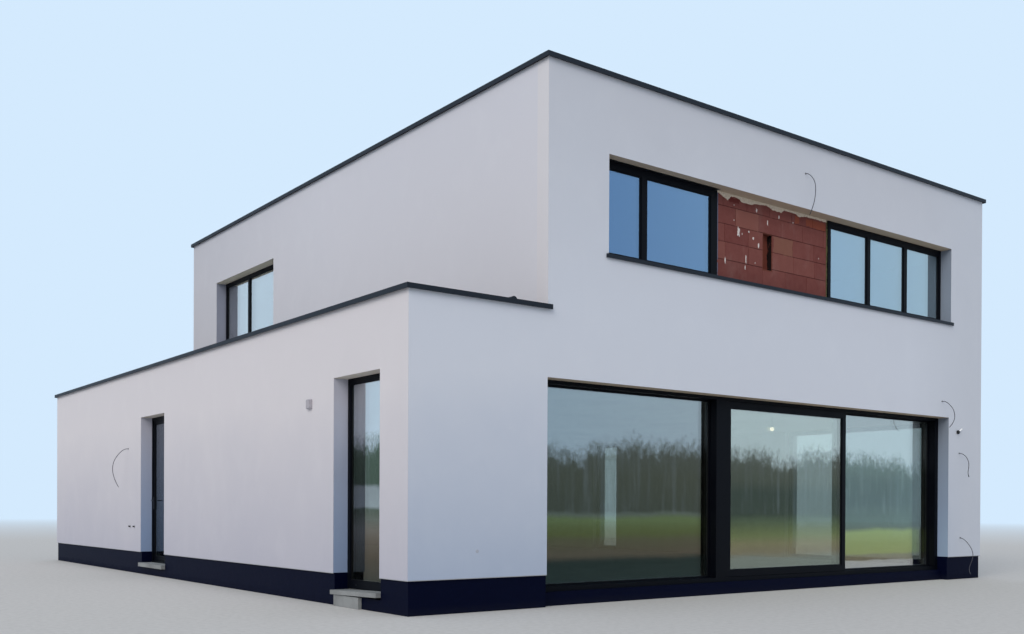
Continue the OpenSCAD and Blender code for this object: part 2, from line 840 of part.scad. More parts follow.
module left_side_glass() {
    color(glass_blue) {
        at_left(tall_hole[1], floor_z) window_glass(tall_w, door_h, [], tall_foot);
        at_left_upper(side_hole[1], upper_z) window_glass(side_window_w, upper_h, side_bars);
    }
}

module upper_front_frames() {
    color(anthracite) {
        at_front(strip_hole[0], upper_z)
            window_frame(left_window_w, upper_h, left_bars, head = upper_head_w,
                end = left_end_w);
        at_front(right_window_start, upper_z)
            window_frame(right_window_w, upper_h, right_bars, head = upper_head_w);
    }
}

module upper_front_glass() {
    color(glass_blue) {
        at_front(strip_hole[0], upper_z)
            window_glass(left_window_w, upper_h, left_bars, head = upper_head_w,
                end = left_end_w);
        at_front(right_window_start, upper_z)
            window_glass(right_window_w, upper_h, right_bars, head = upper_head_w);
    }
}

module unseen_side_frames() {
    color(anthracite) {
        at_right(right_hole[0], floor_z) window_frame(right_side_w, door_h);
        at_right(narrow_hole[0], floor_z) window_frame(narrow_w, door_h);
        at_right(side_hole[0], upper_z) window_frame(side_window_w, upper_h, side_bars);
        at_back(back_hole[1], floor_z)
            window_frame(back_window_w, door_h, mid_bar(back_window_w));
        at_back_upper(back_upper_hole[1], upper_z)
            window_frame(back_window_w, upper_h, mid_bar(back_window_w));
    }
}

module unseen_side_glass() {
    color(glass_blue) {
        at_right(right_hole[0], floor_z) window_glass(right_side_w, door_h);
        at_right(narrow_hole[0], floor_z) window_glass(narrow_w, door_h);
        at_right(side_hole[0], upper_z) window_glass(side_window_w, upper_h, side_bars);
        at_back(back_hole[1], floor_z)
            window_glass(back_window_w, door_h, mid_bar(back_window_w));
        at_back_upper(back_upper_hole[1], upper_z)
            window_glass(back_window_w, upper_h, mid_bar(back_window_w));
    }
}

// Small box on the left wall, between the tall window and the side door
box_y = 2345;
box_drop = 210;
box_round = 12;
box_rim = 8;
module wall_box() {
    color("silver")
        translate([-wing_w, box_y, ground_lintel - box_drop - box_h]) rotate([90, 0, -90]) {
            linear_extrude(box_d - box_rim) rounded(box_w, box_h, box_round);
            linear_extrude(box_d)
                translate([0, box_rim])
                    rounded(box_w - 2 * box_rim, box_h - 2 * box_rim, box_round - box_rim / 2);
        }
}

// Small sensor on the front, near the right corner: a round head with a short arm
sensor_in = 760;
sensor_drop = 236;
sensor_r = 32;
sensor_d = 40;
sensor_edge = 4;
arm_r = 11;
arm_len = 95;
arm_tilt = 28;
module wall_sensor() {
    color(anthracite)
        translate([main_w - sensor_in, 0, ground_lintel - sensor_drop]) rotate([90, 0, 0]) {
            rotate_extrude($fn = 48)
                polygon([[0, 0], [sensor_r - sensor_edge, 0], [sensor_r, sensor_edge],
                    [sensor_r, sensor_d - 3 * sensor_edge],
                    [sensor_r - 2 * sensor_edge, sensor_d - sensor_edge],
                    [sensor_r - 4 * sensor_edge, sensor_d], [0, sensor_d]]);
            rotate([0, 0, arm_tilt]) translate([0, 0, sensor_d / 2]) rotate([0, 90, 0])
                cylinder(r = arm_r, h = sensor_r + arm_len, $fn = 32);
        }
}

// Loose cables. A route's points are [distance from the wall, height above the ground].
sleeve_t = 3;
high_in = 1240;
middle_in = 699;
low_in = 652;
upper_cable_in = 4916;
side_cable_past = 697;
side_cable_y = door_hole[1] + side_cable_past;
high_route = [[3, 3010], [40, 3006], [76, 2993], [109, 2973], [139, 2946], [166, 2915],
    [190, 2882], [209, 2847], [222, 2809], [229, 2770], [230, 2731], [222, 2692], [207, 2656],
    [188, 2624], [167, 2597], [145, 2574]];
middle_route = [[3, 2155], [38, 2150], [72, 2136], [104, 2114], [131, 2086], [151, 2053],
    [166, 2018], [175, 1980], [177, 1941], [174, 1902], [168, 1864], [164, 1826], [168, 1787],
    [180, 1750]];
low_route = [[3, 706], [42, 696], [80, 674], [114, 646], [145, 613], [173, 577], [198, 540],
    [217, 501], [230, 460], [234, 417], [230, 375], [219, 334], [204, 294], [188, 254],
    [175, 214], [170, 173], [177, 132], [194, 94]];
upper_route = [[3, 6119], [38, 6109], [70, 6088], [100, 6060], [126, 6028], [148, 5992],
    [164, 5953], [174, 5911], [178, 5868], [178, 5825], [175, 5782], [169, 5739], [160, 5697],
    [149, 5656], [134, 5616], [117, 5577], [99, 5540], [81, 5506]];
side_route = [[3, 2229], [43, 2224], [83, 2209], [119, 2184], [151, 2153], [180, 2119],
    [207, 2083], [231, 2045], [251, 2005], [266, 1963], [275, 1920], [279, 1876], [279, 1832],
    [274, 1788], [265, 1745], [252, 1702], [237, 1660], [219, 1618], [199, 1577], [177, 1538]];
cable_sides = 8;

// The direction of a route at point i. The first ring is square to the wall.
function route_way(r, i) =
    i == 0 ? [1, 0] :
    let (a = r[i - 1], b = r[min(i + 1, len(r) - 1)]) (b - a) / norm(b - a);

// Ring points [distance, across, height] around point i of a route.
function ring(r, i) =
    let (t = route_way(r, i))
    [for (k = [0:cable_sides - 1])
        let (a = 360 * k / cable_sides, u = cable_d / 2 * cos(a), v = cable_d / 2 * sin(a))
        [r[i][0] - t[1] * u, v, r[i][1] + t[0] * u]];

// A tube swept along a route, out from the wall along -Y.
module cable(r) {
    n = cable_sides;
    last = len(r) - 1;
    rings = [for (i = [0:last]) each ring(r, i)];
    points = [for (p = rings) [p[1], -p[0], p[2]]];
    sides = [for (i = [0:last - 1], k = [0:n - 1])
        [i * n + k, i * n + (k + 1) % n, (i + 1) * n + (k + 1) % n, (i + 1) * n + k]];
    polyhedron(points, concat(sides, [[for (k = [n - 1:-1:0]) k]],
        [[for (k = [0:n - 1]) last * n + k]]));
}

module cable_exit(r) {
    translate([0, 0, r[0][1]]) rotate([90, 0, 0]) cylinder(d = sleeve_d, h = sleeve_t, $fn = 32);
}

module on_front(from_right) translate([main_w - from_right, 0, 0]) children();
module on_left_side() translate([-wing_w, side_cable_y, 0]) rotate([0, 0, -90]) children();

module cable_sleeves() {
    color(cable_grey) {
        on_front(high_in) cable_exit(high_route);
        on_front(middle_in) cable_exit(middle_route);
        on_front(low_in) cable_exit(low_route);
        on_front(upper_cable_in) cable_exit(upper_route);
        on_left_side() cable_exit(side_route);
    }
}

module front_cable_high() color(cable_grey) on_front(high_in) cable(high_route);
module front_cable_middle() color(cable_grey) on_front(middle_in) cable(middle_route);
module front_cable_low() color(cable_grey) on_front(low_in) cable(low_route);
module upper_cable() color(cable_grey) on_front(upper_cable_in) cable(upper_route);
module side_cable() color(cable_grey) on_left_side() cable(side_route);

place() ground_slab();
place() plinth();
place() first_floor_slab();
place() roof_slab();
place() roof_covering();
place() ground_blocks_front();
place() ground_blocks_left();
place() ground_blocks_right();
place() ground_blocks_back();
place() upper_blocks_front();
place() upper_blocks_left();
place() upper_blocks_right();
place() upper_blocks_back();
place() main_parapet();
place() wing_parapet();
place() front_render_beside();
place() front_render_over();
place() left_render_beside();
place() left_render_over();
place() left_render_upper();
place() right_render();
place() back_render_ground();
place() back_render_upper();
place() main_cap();
place() wing_cap();
place() window_sills();
place() door_steps();
place() front_glazing_frame();
place() front_fixed_glass();
place() sliding_leaf();
place() sliding_leaf_glass();
place() side_door_frame();
place() side_door_leaf();
place() side_door_glass();
place() side_door_plates();
place() side_door_lever();
place() left_side_frames();
place() left_side_glass();
place() upper_front_frames();
place() upper_front_glass();
place() unseen_side_frames();
place() unseen_side_glass();
place() wall_box();
place() wall_sensor();
place() cable_sleeves();
place() front_cable_high();
place() front_cable_middle();
place() front_cable_low();
place() upper_cable();
place() side_cable();
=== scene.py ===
"""Looks of a detached house with white render, dark metal caps and a wide glazed front.

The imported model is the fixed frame. House coordinates are metres from the front left
corner of the two-storey block at ground level: x to the right along the front, y to the
back, z up. Plan.spot puts a house point in the model's own frame.
"""

from __future__ import annotations

import logging
import math
import random
from dataclasses import dataclass, field
from enum import Enum
from typing import Callable, Iterable, Sequence, Union

import bmesh
import bpy
from mathutils import Matrix, Vector


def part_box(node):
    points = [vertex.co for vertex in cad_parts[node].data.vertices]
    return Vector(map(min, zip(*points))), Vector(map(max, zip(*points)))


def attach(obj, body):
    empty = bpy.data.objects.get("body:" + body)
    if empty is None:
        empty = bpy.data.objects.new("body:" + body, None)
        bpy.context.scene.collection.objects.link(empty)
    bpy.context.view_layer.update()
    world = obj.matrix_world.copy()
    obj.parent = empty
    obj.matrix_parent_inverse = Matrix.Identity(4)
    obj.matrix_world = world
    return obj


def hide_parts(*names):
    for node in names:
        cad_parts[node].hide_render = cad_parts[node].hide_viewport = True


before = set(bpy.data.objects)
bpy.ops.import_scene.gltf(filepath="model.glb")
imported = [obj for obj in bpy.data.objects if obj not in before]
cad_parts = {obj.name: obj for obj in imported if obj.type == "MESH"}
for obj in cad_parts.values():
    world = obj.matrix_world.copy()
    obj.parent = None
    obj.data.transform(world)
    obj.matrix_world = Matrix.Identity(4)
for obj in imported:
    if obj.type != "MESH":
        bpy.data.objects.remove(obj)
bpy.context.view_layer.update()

logging.basicConfig(level=logging.INFO, format="%(message)s")
LOG = logging.getLogger("house")

Work = bmesh.types.BMesh
Mesh = bpy.types.Mesh
Builder = Callable[[], None]
Span = tuple[float, float]
Point = tuple[float, float, float]
Colour = tuple[float, float, float, float]
Stops = tuple[tuple[float, Colour], ...]
Number = Union[float, "Wire"]
Tint = Union[Colour, "Wire"]
Operator = Callable[["Wire", Number], "Wire"]
WHITE: Colour = (1.0, 1.0, 1.0, 1.0)


def tone(*seen: int) -> Colour:
    """Turns a colour as it is seen on a screen into the linear one that nodes take.

    Args:
        seen: Red, green and blue, from 0 to 255.

    Returns:
        The linear colour with full alpha.
    """
    red, green, blue = (
        share / 12.92 if share <= 0.04045 else ((share + 0.055) / 1.055) ** 2.4
        for share in (value / 255 for value in seen))
    return (red, green, blue, 1.0)


def bands(*rows: tuple[float, int, int, int]) -> Stops:
    """The stops of a colour ramp, from rows of a place and the three values of a tone."""
    return tuple((place, tone(*seen)) for place, *seen in rows)


class Body(Enum):
    """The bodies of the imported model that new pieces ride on."""

    HOUSE = "house"
    SLIDING_LEAF = "sliding_leaf"
    SIDE_DOOR = "side_door"


class Slot(Enum):
    """The material slots of the record that the calls making new pieces name."""

    RENDER = "render"
    CLAY = "clay_block"
    METAL = "anthracite_metal"
    MEMBRANE = "roof_membrane"
    STEEL = "steel_fitting"
    GREY = "grey_fitting"
    JACKET = "cable_jacket"


class Side(Enum):
    """The sides of the house: the axis across each side and the sign of inwards."""

    FRONT = (1, 1.0)
    BACK = (1, -1.0)
    LEFT = (0, 1.0)
    RIGHT = (0, -1.0)

    def __init__(self, axis: int, inward: float) -> None:
        """Names the two values."""
        self.axis = axis
        self.inward = inward


# Places in the house


@dataclass(frozen=True)
class Plan:
    """Where the house stands in the model's frame."""

    corner: Vector

    def spot(self, x: float, y: float, z: float) -> Vector:
        """A house point in the model's frame."""
        return Vector((self.corner.x + x, self.corner.y + y, z))

    def lowest(self, node: str, axis: int) -> float:
        """The lowest house coordinate of a node along an axis."""
        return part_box(node)[0][axis] - self.corner[axis]

    def highest(self, node: str, axis: int) -> float:
        """The highest house coordinate of a node along an axis."""
        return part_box(node)[1][axis] - self.corner[axis]


FRONT_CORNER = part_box("front_render_over")[0]
PLAN = Plan(Vector((FRONT_CORNER[0], FRONT_CORNER[1], 0.0)))


@dataclass(frozen=True)
class Wall:
    """A wall face, with depths counted inwards from it.

    A surface that lies behind the face, between the two places along the wall that the
    stretch names, belongs to an opening.
    """

    side: Side
    face: float
    stretch: Span = (-100.0, 100.0)

    def spot(self, along: float, depth: float, z: float) -> Vector:
        """A point of this wall in the model's frame.

        Args:
            along: House coordinate along the wall.
            depth: Depth behind its face.
            z: Height.

        Returns:
            The point.
        """
        across = self.face + depth * self.side.inward
        if self.side.axis == 1:
            return PLAN.spot(along, across, z)
        return PLAN.spot(across, along, z)


REVEAL = PLAN.lowest("upper_front_frames", 1)
GROUND_LINTEL = FRONT_CORNER[2]
UPPER_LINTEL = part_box("upper_front_frames")[1][2]
WING_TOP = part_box("left_render_over")[1][2]
MAIN_W = PLAN.highest("front_render_over", 0)
MAIN_D = PLAN.highest("back_render_upper", 1)
HOUSE_D = PLAN.highest("back_render_ground", 1)
WING_X = PLAN.lowest("left_render_beside", 0)
SILL_Z = 4.372
FLOOR_Z = 0.200

# How far an added piece reaches into what carries it: a thin, a thicker and a long one
SEATED = 0.0005
SUNK = 0.001
ROOTED = 0.002

FRONT_WALL = Wall(Side.FRONT, 0.0, stretch=(0.01, MAIN_W - 0.01))
LEFT_WALL = Wall(Side.LEFT, WING_X, stretch=(0.30, HOUSE_D - 0.04))
LEFT_UPPER_WALL = Wall(Side.LEFT, 0.0, stretch=(0.30, MAIN_D - 0.06))
RIGHT_WALL = Wall(Side.RIGHT, MAIN_W, stretch=(0.30, MAIN_D - 0.06))
BACK_WALL = Wall(Side.BACK, HOUSE_D, stretch=(WING_X + 0.24, MAIN_W - 0.28))
BACK_UPPER_WALL = Wall(Side.BACK, MAIN_D, stretch=(0.30, MAIN_W - 0.28))


# Node trees


def reflected(operation: str) -> tuple[Operator, Operator]:
    """A Math node as an operator of Wire.

    Args:
        operation: The node's operation.

    Returns:
        The operator, and its reflected form, which swaps the two values.
    """
    def forward(wire: Wire, other: Number) -> Wire:
        """The operation on this wire and another value."""
        return wire.maths(operation, wire, other)

    def swapped(wire: Wire, other: Number) -> Wire:
        """The operation on another value and this wire."""
        return wire.maths(operation, other, wire)

    return forward, swapped


class Wire:
    """An output socket whose arithmetic adds Math nodes to its tree."""

    def __init__(self, graph: Graph, socket: bpy.types.NodeSocket | None) -> None:
        """Keeps the tree and the socket."""
        self.graph = graph
        self.socket = socket

    def maths(self, operation: str, first: Number, second: Number = 0.0) -> Wire:
        """A Math node on two values."""
        return self.graph.node("ShaderNodeMath", {0: first, 1: second}, operation=operation)

    __add__, __radd__ = reflected("ADD")
    __sub__, __rsub__ = reflected("SUBTRACT")
    __mul__, __rmul__ = reflected("MULTIPLY")
    __gt__, __lt__ = reflected("GREATER_THAN")
    __pow__ = reflected("POWER")[0]

    def clamped(self) -> Wire:
        """The value held between 0 and 1."""
        return self.graph.node("ShaderNodeClamp", {"Value": self, "Min": 0.0, "Max": 1.0})

    def output(self, name: Union[str, int]) -> Wire:
        """Another output of the same node."""
        return Wire(self.graph, self.socket.node.outputs[name])


class Graph:
    """A node tree, with one method that adds any node.

    A Mix node has sockets for each kind of data. Its colour ones go by index, because they
    share their names with the others.
    """

    SHARE, FIRST, SECOND, MIXED = 0, 6, 7, 2

    def __init__(self, tree: bpy.types.NodeTree) -> None:
        """Keeps the tree."""
        self.tree = tree

    def node(self, kind: str, values: dict | None = None, output: Union[str, int] = 0,
             **settings: object) -> Wire:
        """Adds a node.

        Args:
            kind: The node's type.
            values: A value or a Wire for each socket, by name or index.
            output: The output that is returned.
            settings: Its own settings, set first. "ramp" takes the stops of a colour ramp.

        Returns:
            That output.
        """
        made = self.tree.nodes.new(kind)
        for name, value in settings.items():
            if name == "ramp":
                self._stops(made.color_ramp.elements, value)
            else:
                setattr(made, name, value)
        for name, value in (values or {}).items():
            socket = made.inputs[name]
            if isinstance(value, Wire):
                self.tree.links.new(value.socket, socket)
            else:
                socket.default_value = value
        return Wire(self, made.outputs[output] if made.outputs else None)

    @staticmethod
    def _stops(elements: bpy.types.ColorRampElements, stops: Stops) -> None:
        """Sets the stops of a colour ramp.

        Args:
            elements: The ramp's own two stops, to which others are added.
            stops: The stops, from 0 to 1.
        """
        for element, (place, colour) in zip((elements[0], elements[1]), (stops[0], stops[-1])):
            element.position = place
            element.color = colour
        for place, colour in stops[1:-1]:
            elements.new(place).color = colour

    def mix(self, first: Tint, second: Tint, share: Number, blend: str = "MIX") -> Wire:
        """Mixes two colours by a share of the second."""
        values = {self.SHARE: share, self.FIRST: first, self.SECOND: second}
        return self.node("ShaderNodeMix", values, self.MIXED, data_type="RGBA", blend_type=blend)

    def vectors(self, operation: str, values: dict, output: Union[str, int] = 0) -> Wire:
        """A Vector Math node."""
        return self.node("ShaderNodeVectorMath", values, output, operation=operation)


class ShaderGraph(Graph):
    """The tree of a material, with the nodes that this house's finishes share."""

    def place(self) -> Wire:
        """Object coordinates, which are the model's own frame."""
        return self.node("ShaderNodeTexCoord", output="Object")

    def axes(self) -> tuple[Wire, Wire, Wire]:
        """The three house coordinates apart."""
        split = self.node("ShaderNodeSeparateXYZ", {0: self.place()})
        return split - PLAN.corner.x, split.output(1) - PLAN.corner.y, split.output(2)

    def noise(self, scale: float, detail: float = 2.0, rough: float = 0.5,
              stretch: Point = (1.0, 1.0, 1.0), warp: float = 0.0) -> Wire:
        """Noise on object coordinates, as a value around a half.

        Args:
            scale: Waves in a metre.
            detail: Octaves.
            rough: Share of each finer octave.
            stretch: Scale along each axis.
            warp: Distortion.

        Returns:
            The value.
        """
        at = self.node("ShaderNodeMapping", {"Vector": self.place(), "Scale": stretch})
        return self.node("ShaderNodeTexNoise", {
            "Vector": at, "Scale": scale, "Detail": detail, "Roughness": rough,
            "Distortion": warp})

    def ramp(self, value: Wire, low: float, high: float) -> Wire:
        """A value spread from 0 at low to 1 at high, and held there."""
        values = {"Value": value, "From Min": low, "From Max": high}
        return self.node("ShaderNodeMapRange", values, clamp=True)

    def between(self, value: Wire, low: float, high: float, soft: float) -> Wire:
        """One from low to high, falling to 0 over a soft edge outside."""
        return self.ramp(value, low - soft, low) * self.ramp(value, high + soft, high)

    def stops(self, value: Wire, stops: Stops) -> Wire:
        """A colour that follows a value.

        Args:
            value: The value.
            stops: The colours, each at a value of its own.

        Returns:
            The colour.
        """
        low, high = stops[0][0], stops[-1][0]
        spread = tuple(((place - low) / (high - low), colour) for place, colour in stops)
        return self.node("ShaderNodeValToRGB", {0: (value - low) * (1 / (high - low))},
                         ramp=spread)

    def bump(self, height: Wire, depth: float, strength: float,
             under: Wire | None = None) -> Wire:
        """A bumped normal.

        Args:
            height: The height, from 0 to 1.
            depth: What a height of 1 is in metres.
            strength: The bump's strength.
            under: A normal that it lies on.

        Returns:
            The normal.
        """
        values = {"Strength": strength, "Distance": depth, "Height": height}
        if under is not None:
            values["Normal"] = under
        return self.node("ShaderNodeBump", values)

    def surface(self, colour: Tint, rough: Number, normal: Wire | None = None,
                **fixed: float) -> Wire:
        """A Principled shader.

        Args:
            colour: Base colour.
            rough: Roughness.
            normal: Bumped normal.
            fixed: Other sockets, with underscores for spaces.

        Returns:
            The shader's output.
        """
        values: dict = {"Base Color": colour, "Roughness": rough}
        if normal is not None:
            values["Normal"] = normal
        values.update({name.replace("_", " "): value for name, value in fixed.items()})
        return self.node("ShaderNodeBsdfPrincipled", values)

    def finish(self, shader: Wire) -> None:
        """Joins a shader to the material's output."""
        self.node("ShaderNodeOutputMaterial", {"Surface": shader})

    def dull(self, colour: Tint, rough: Number, normal: Wire, gloss: float) -> None:
        """Ends the tree with a surface that isn't metal, by its specular level."""
        self.finish(self.surface(colour, rough, normal, Specular_IOR_Level=gloss))


@dataclass(frozen=True)
class Row:
    """A straight row of like items."""

    start: Vector
    step: Vector
    count: int


class Recipe(Graph):
    """A Geometry Nodes tree with named inputs, whose result becomes a plain mesh."""

    def __init__(self, name: str) -> None:
        """Makes an empty tree with its geometry sockets.

        Args:
            name: The tree's name.
        """
        super().__init__(bpy.data.node_groups.new(name, "GeometryNodeTree"))
        for way in ("INPUT", "OUTPUT"):
            self.tree.interface.new_socket("Geometry", in_out=way,
                                           socket_type="NodeSocketGeometry")
        self.entry = self.tree.nodes.new("NodeGroupInput")
        self.sockets: dict[str, str] = {}

    def sizes(self, **kinds: str) -> list[Wire]:
        """Adds named inputs.

        Args:
            kinds: The kind of each, such as Float or Vector.

        Returns:
            Their wires, in order.
        """
        wires = []
        for name, kind in kinds.items():
            made = self.tree.interface.new_socket(name, in_out="INPUT",
                                                  socket_type="NodeSocket" + kind)
            self.sockets[name] = made.identifier
            wires.append(Wire(self, self.entry.outputs[name]))
        return wires

    def ends(self, geometry: Wire) -> None:
        """Ends the tree with real geometry in the finish that its last input names.

        Args:
            geometry: The geometry, which may hold instances.
        """
        finish = self.sizes(Finish="Material")[0]
        real = self.node("GeometryNodeRealizeInstances", {"Geometry": geometry})
        done = self.node("GeometryNodeSetMaterial", {"Geometry": real, "Material": finish})
        self.node("NodeGroupOutput", {0: done})

    def run(self, name: str, finish: Finish, sizes: dict) -> Mesh:
        """Runs the tree.

        Args:
            name: Name of the mesh.
            finish: Its finish.
            sizes: A value for each named input.

        Returns:
            The result as a plain mesh.
        """
        holder = placed(name, bpy.data.meshes.new(name))
        modifier = holder.modifiers.new(name, "NODES")
        modifier.node_group = self.tree
        for label, value in {**sizes, "Finish": finish.material()}.items():
            modifier[self.sockets[label]] = value
        graph = bpy.context.evaluated_depsgraph_get()
        mesh = bpy.data.meshes.new_from_object(
            holder.evaluated_get(graph), preserve_all_data_layers=True, depsgraph=graph)
        holder.modifiers.remove(modifier)
        bpy.data.objects.remove(holder)
        return mesh


class RowRecipe(Recipe):
    """Sets like items in a straight row, each with its own tone and a little loose."""

    def __init__(self) -> None:
        """Draws the nodes."""
        super().__init__("row_of_items")
        count, start, step, item, loose, seed = self.sizes(
            Count="Int", Start="Vector", Step="Vector", Item="Object", Looseness="Float",
            Seed="Int")
        line = self.node("GeometryNodeMeshLine", {
            "Count": count, "Start Location": start, "Offset": step}, mode="OFFSET")
        away = self.node("FunctionNodeRandomValue", {
            0: (-1.0, -1.0, -1.0), 1: (1.0, 1.0, 1.0), "Seed": seed}, data_type="FLOAT_VECTOR")
        shift = self.vectors("SCALE", {0: away, "Scale": loose})
        placed = self.node("GeometryNodeSetPosition", {"Geometry": line, "Offset": shift})
        shape = self.node("GeometryNodeObjectInfo", {"Object": item}, "Geometry")
        items = self.node("GeometryNodeInstanceOnPoints", {
            "Points": placed, "Instance": shape})
        grade = self.node("FunctionNodeRandomValue", {"Seed": seed}, 1, data_type="FLOAT")
        self.ends(self.node("GeometryNodeStoreNamedAttribute", {
            "Geometry": items, "Name": "item_tone", "Value": grade},
            data_type="FLOAT", domain="INSTANCE"))

    def row(self, name: str, finish: Finish, item: bpy.types.Object, row: Row, loose: float,
            seed: int) -> Mesh:
        """Runs the tree for one row.

        Args:
            name: Name of the mesh.
            finish: Its finish.
            item: The item, around the origin.
            row: The row.
            loose: How far an item may stand from its place.
            seed: The seed of tones and places.

        Returns:
            The items as one mesh.
        """
        return self.run(name, finish, {
            "Count": row.count, "Start": tuple(row.start), "Step": tuple(row.step),
            "Item": item, "Looseness": loose, "Seed": seed})


class BeadRecipe(Recipe):
    """A swollen foam bead along a line: its place and its thickness wander."""

    FINE_POINTS = 240
    SIDES = 10
    SWELL_SHARE = 1.9

    def __init__(self) -> None:
        """Draws the nodes."""
        super().__init__("foam_bead")
        start, end, radius, wander, seed = self.sizes(
            Start="Vector", End="Vector", Radius="Float", Wander="Float", Seed="Float")
        line = self.node("GeometryNodeCurvePrimitiveLine", {"Start": start, "End": end})
        fine = self.node("GeometryNodeResampleCurve", {
            "Curve": line, "Count": self.FINE_POINTS})
        blur = self.node("ShaderNodeTexNoise", {
            "W": seed, "Scale": 7.0, "Detail": 3.0, "Roughness": 0.65}, noise_dimensions="4D")
        centred = self.vectors("SUBTRACT", {0: blur.output("Color"), 1: (0.5, 0.5, 0.5)})
        flat = self.vectors("MULTIPLY", {0: centred, 1: (1.0, 1.0, 0.0)})
        shift = self.vectors("SCALE", {0: flat, "Scale": wander})
        moved = self.node("GeometryNodeSetPosition", {"Geometry": fine, "Offset": shift})
        swell = self.node("ShaderNodeTexNoise", {
            "W": seed + 7.0, "Scale": 16.0, "Detail": 2.0, "Roughness": 0.6},
            noise_dimensions="4D")
        ring = self.node("GeometryNodeCurvePrimitiveCircle", {
            "Resolution": self.SIDES, "Radius": radius})
        tube = self.node("GeometryNodeCurveToMesh", {
            "Curve": moved, "Profile Curve": ring, "Scale": swell * self.SWELL_SHARE,
            "Fill Caps": True})
        self.ends(self.node("GeometryNodeSetShadeSmooth", {"Geometry": tube}))


# Finishes


@dataclass(frozen=True)
class Finish:
    """A surface finish. Each kind draws its own node tree once."""

    name: str

    def draw(self, g: ShaderGraph) -> None:
        """Draws the nodes.

        Args:
            g: The material's nodes.
        """
        raise NotImplementedError

    def material(self) -> bpy.types.Material:
        """The material of this finish, made at its first use.

        Returns:
            The material.
        """
        found = bpy.data.materials.get(self.name)
        if found is None:
            found = bpy.data.materials.new(self.name)
            found.use_nodes = True
            found.node_tree.nodes.clear()
            self.draw(ShaderGraph(found.node_tree))
        return found


@dataclass(frozen=True)
class FineRender(Finish):
    """Fine white render: greyer near the ground, and darker where it turns into an opening.

    Both are painted shade, and the soffits of openings take a painted tone of their own. The
    flank is the finish of the wall that a round corner leads to, whose tones are painted for
    the light on that wall. The end tone is that of the front's right end, and the fade darkens
    a side wall towards its back.
    """

    wall: Wall = FRONT_WALL
    # The low tone is darker and bluer than the middle one: painted shade near the ground.
    low: Colour = tone(178, 190, 210)
    middle: Colour = tone(217, 221, 231)
    high: Colour = tone(206, 208, 216)
    middle_from: Span = (0.3, 2.7)
    high_from: Span = (3.6, 6.4)
    # Painted shade on the reveals, multiplied in: the shade tone up high and the foot tone near
    # the ground, blended between the heights of shade_from.
    shade: Colour = (0.37, 0.41, 0.46, 1.0)
    foot: Colour = (0.52, 0.63, 0.78, 1.0)
    shade_from: Span = (0.7, 2.5)
    # The soffits take this tone in place of the render's own: a painted tone for the light under
    # them.
    soffit: Colour = tone(192, 176, 156)
    flank: FineRender | None = None
    corner: float = 0.002
    fade: float = 0.0
    fade_from: Span = (6.0, 13.5)
    end: Colour | None = None
    end_from: Span = (7.6, 9.3)
    grain: float = 420.0
    behind: float = 0.003
    lintel: float = 0.004

    def _turned(self, g: ShaderGraph) -> tuple[Wire, Wire]:
        """Where the render is a reveal or a soffit of an opening.

        Args:
            g: The material's nodes.

        Returns:
            The masks of both.
        """
        x, y, z = g.axes()
        across, along = (y, x) if self.wall.side.axis == 1 else (x, y)
        depth = (across - self.wall.face) * self.wall.side.inward
        start, end = self.wall.stretch
        turned = (depth > self.behind) * (along > start) * (along < end)
        under, over = (g.between(z, at, at, self.lintel) for at in (GROUND_LINTEL, UPPER_LINTEL))
        soffit = turned * ((under + over) > 0.01)
        return turned * (1 - soffit), soffit

    def _tones(self, g: ShaderGraph, height: Wire) -> Wire:
        """The render's tones up the wall, with painted shade in the low tone near the ground."""
        return g.mix(g.mix(self.low, self.middle, g.ramp(height, *self.middle_from)),
                     self.high, g.ramp(height, *self.high_from))

    def draw(self, g: ShaderGraph) -> None:
        """Draws cloudy tone, soft working marks, grain and painted shade on the turned faces.

        Args:
            g: The material's nodes.
        """
        x, y, height = g.axes()
        clouds = g.noise(0.55, 4.0, 0.55)
        marks = g.noise(2.6, 4.0, 0.6, (1.0, 1.0, 0.7))
        grain = g.noise(self.grain, 3.0, 0.7)
        swaying = height + (clouds - 0.5) * 1.2
        base = self._tones(g, swaying)
        # A round corner takes the tones of the wall that it leads to, painted for the light on
        # that wall.
        if self.flank is not None:
            round_corner = ((x < WING_X + self.corner)
                            + (x < self.corner) * (height > WING_TOP))
            base = g.mix(base, self.flank._tones(g, swaying), round_corner.clamped())
        base = g.mix(base, (1 - self.fade,) * 3 + (1.0,), g.ramp(y, *self.fade_from),
                     "MULTIPLY")
        if self.end is not None:
            base = g.mix(base, self.end, g.ramp(x, *self.end_from) * 0.85)
        worked = g.mix(base, g.mix(base, WHITE, 0.35), g.ramp(marks, 0.5, 0.85) * 0.16)
        dusty = g.mix(worked, (0.62, 0.63, 0.66, 1.0),
                      g.ramp(clouds, 0.62, 0.86) * 0.10 + g.ramp(grain, 0.45, 0.2) * 0.16,
                      "MULTIPLY")
        reveal, soffit = self._turned(g)
        # Painted shade on the reveals, and the painted tone of the soffits.
        shade = g.mix(self.foot, self.shade, g.ramp(height, *self.shade_from))
        turned = g.mix(g.mix(dusty, shade, reveal, "MULTIPLY"), self.soffit, soffit)
        swell = g.bump(g.noise(1.6, 2.0, 0.5), 0.012, 0.18)
        g.dull(turned, 0.9 - grain * 0.1, g.bump(grain, 0.0016, 0.75, swell), 0.25)


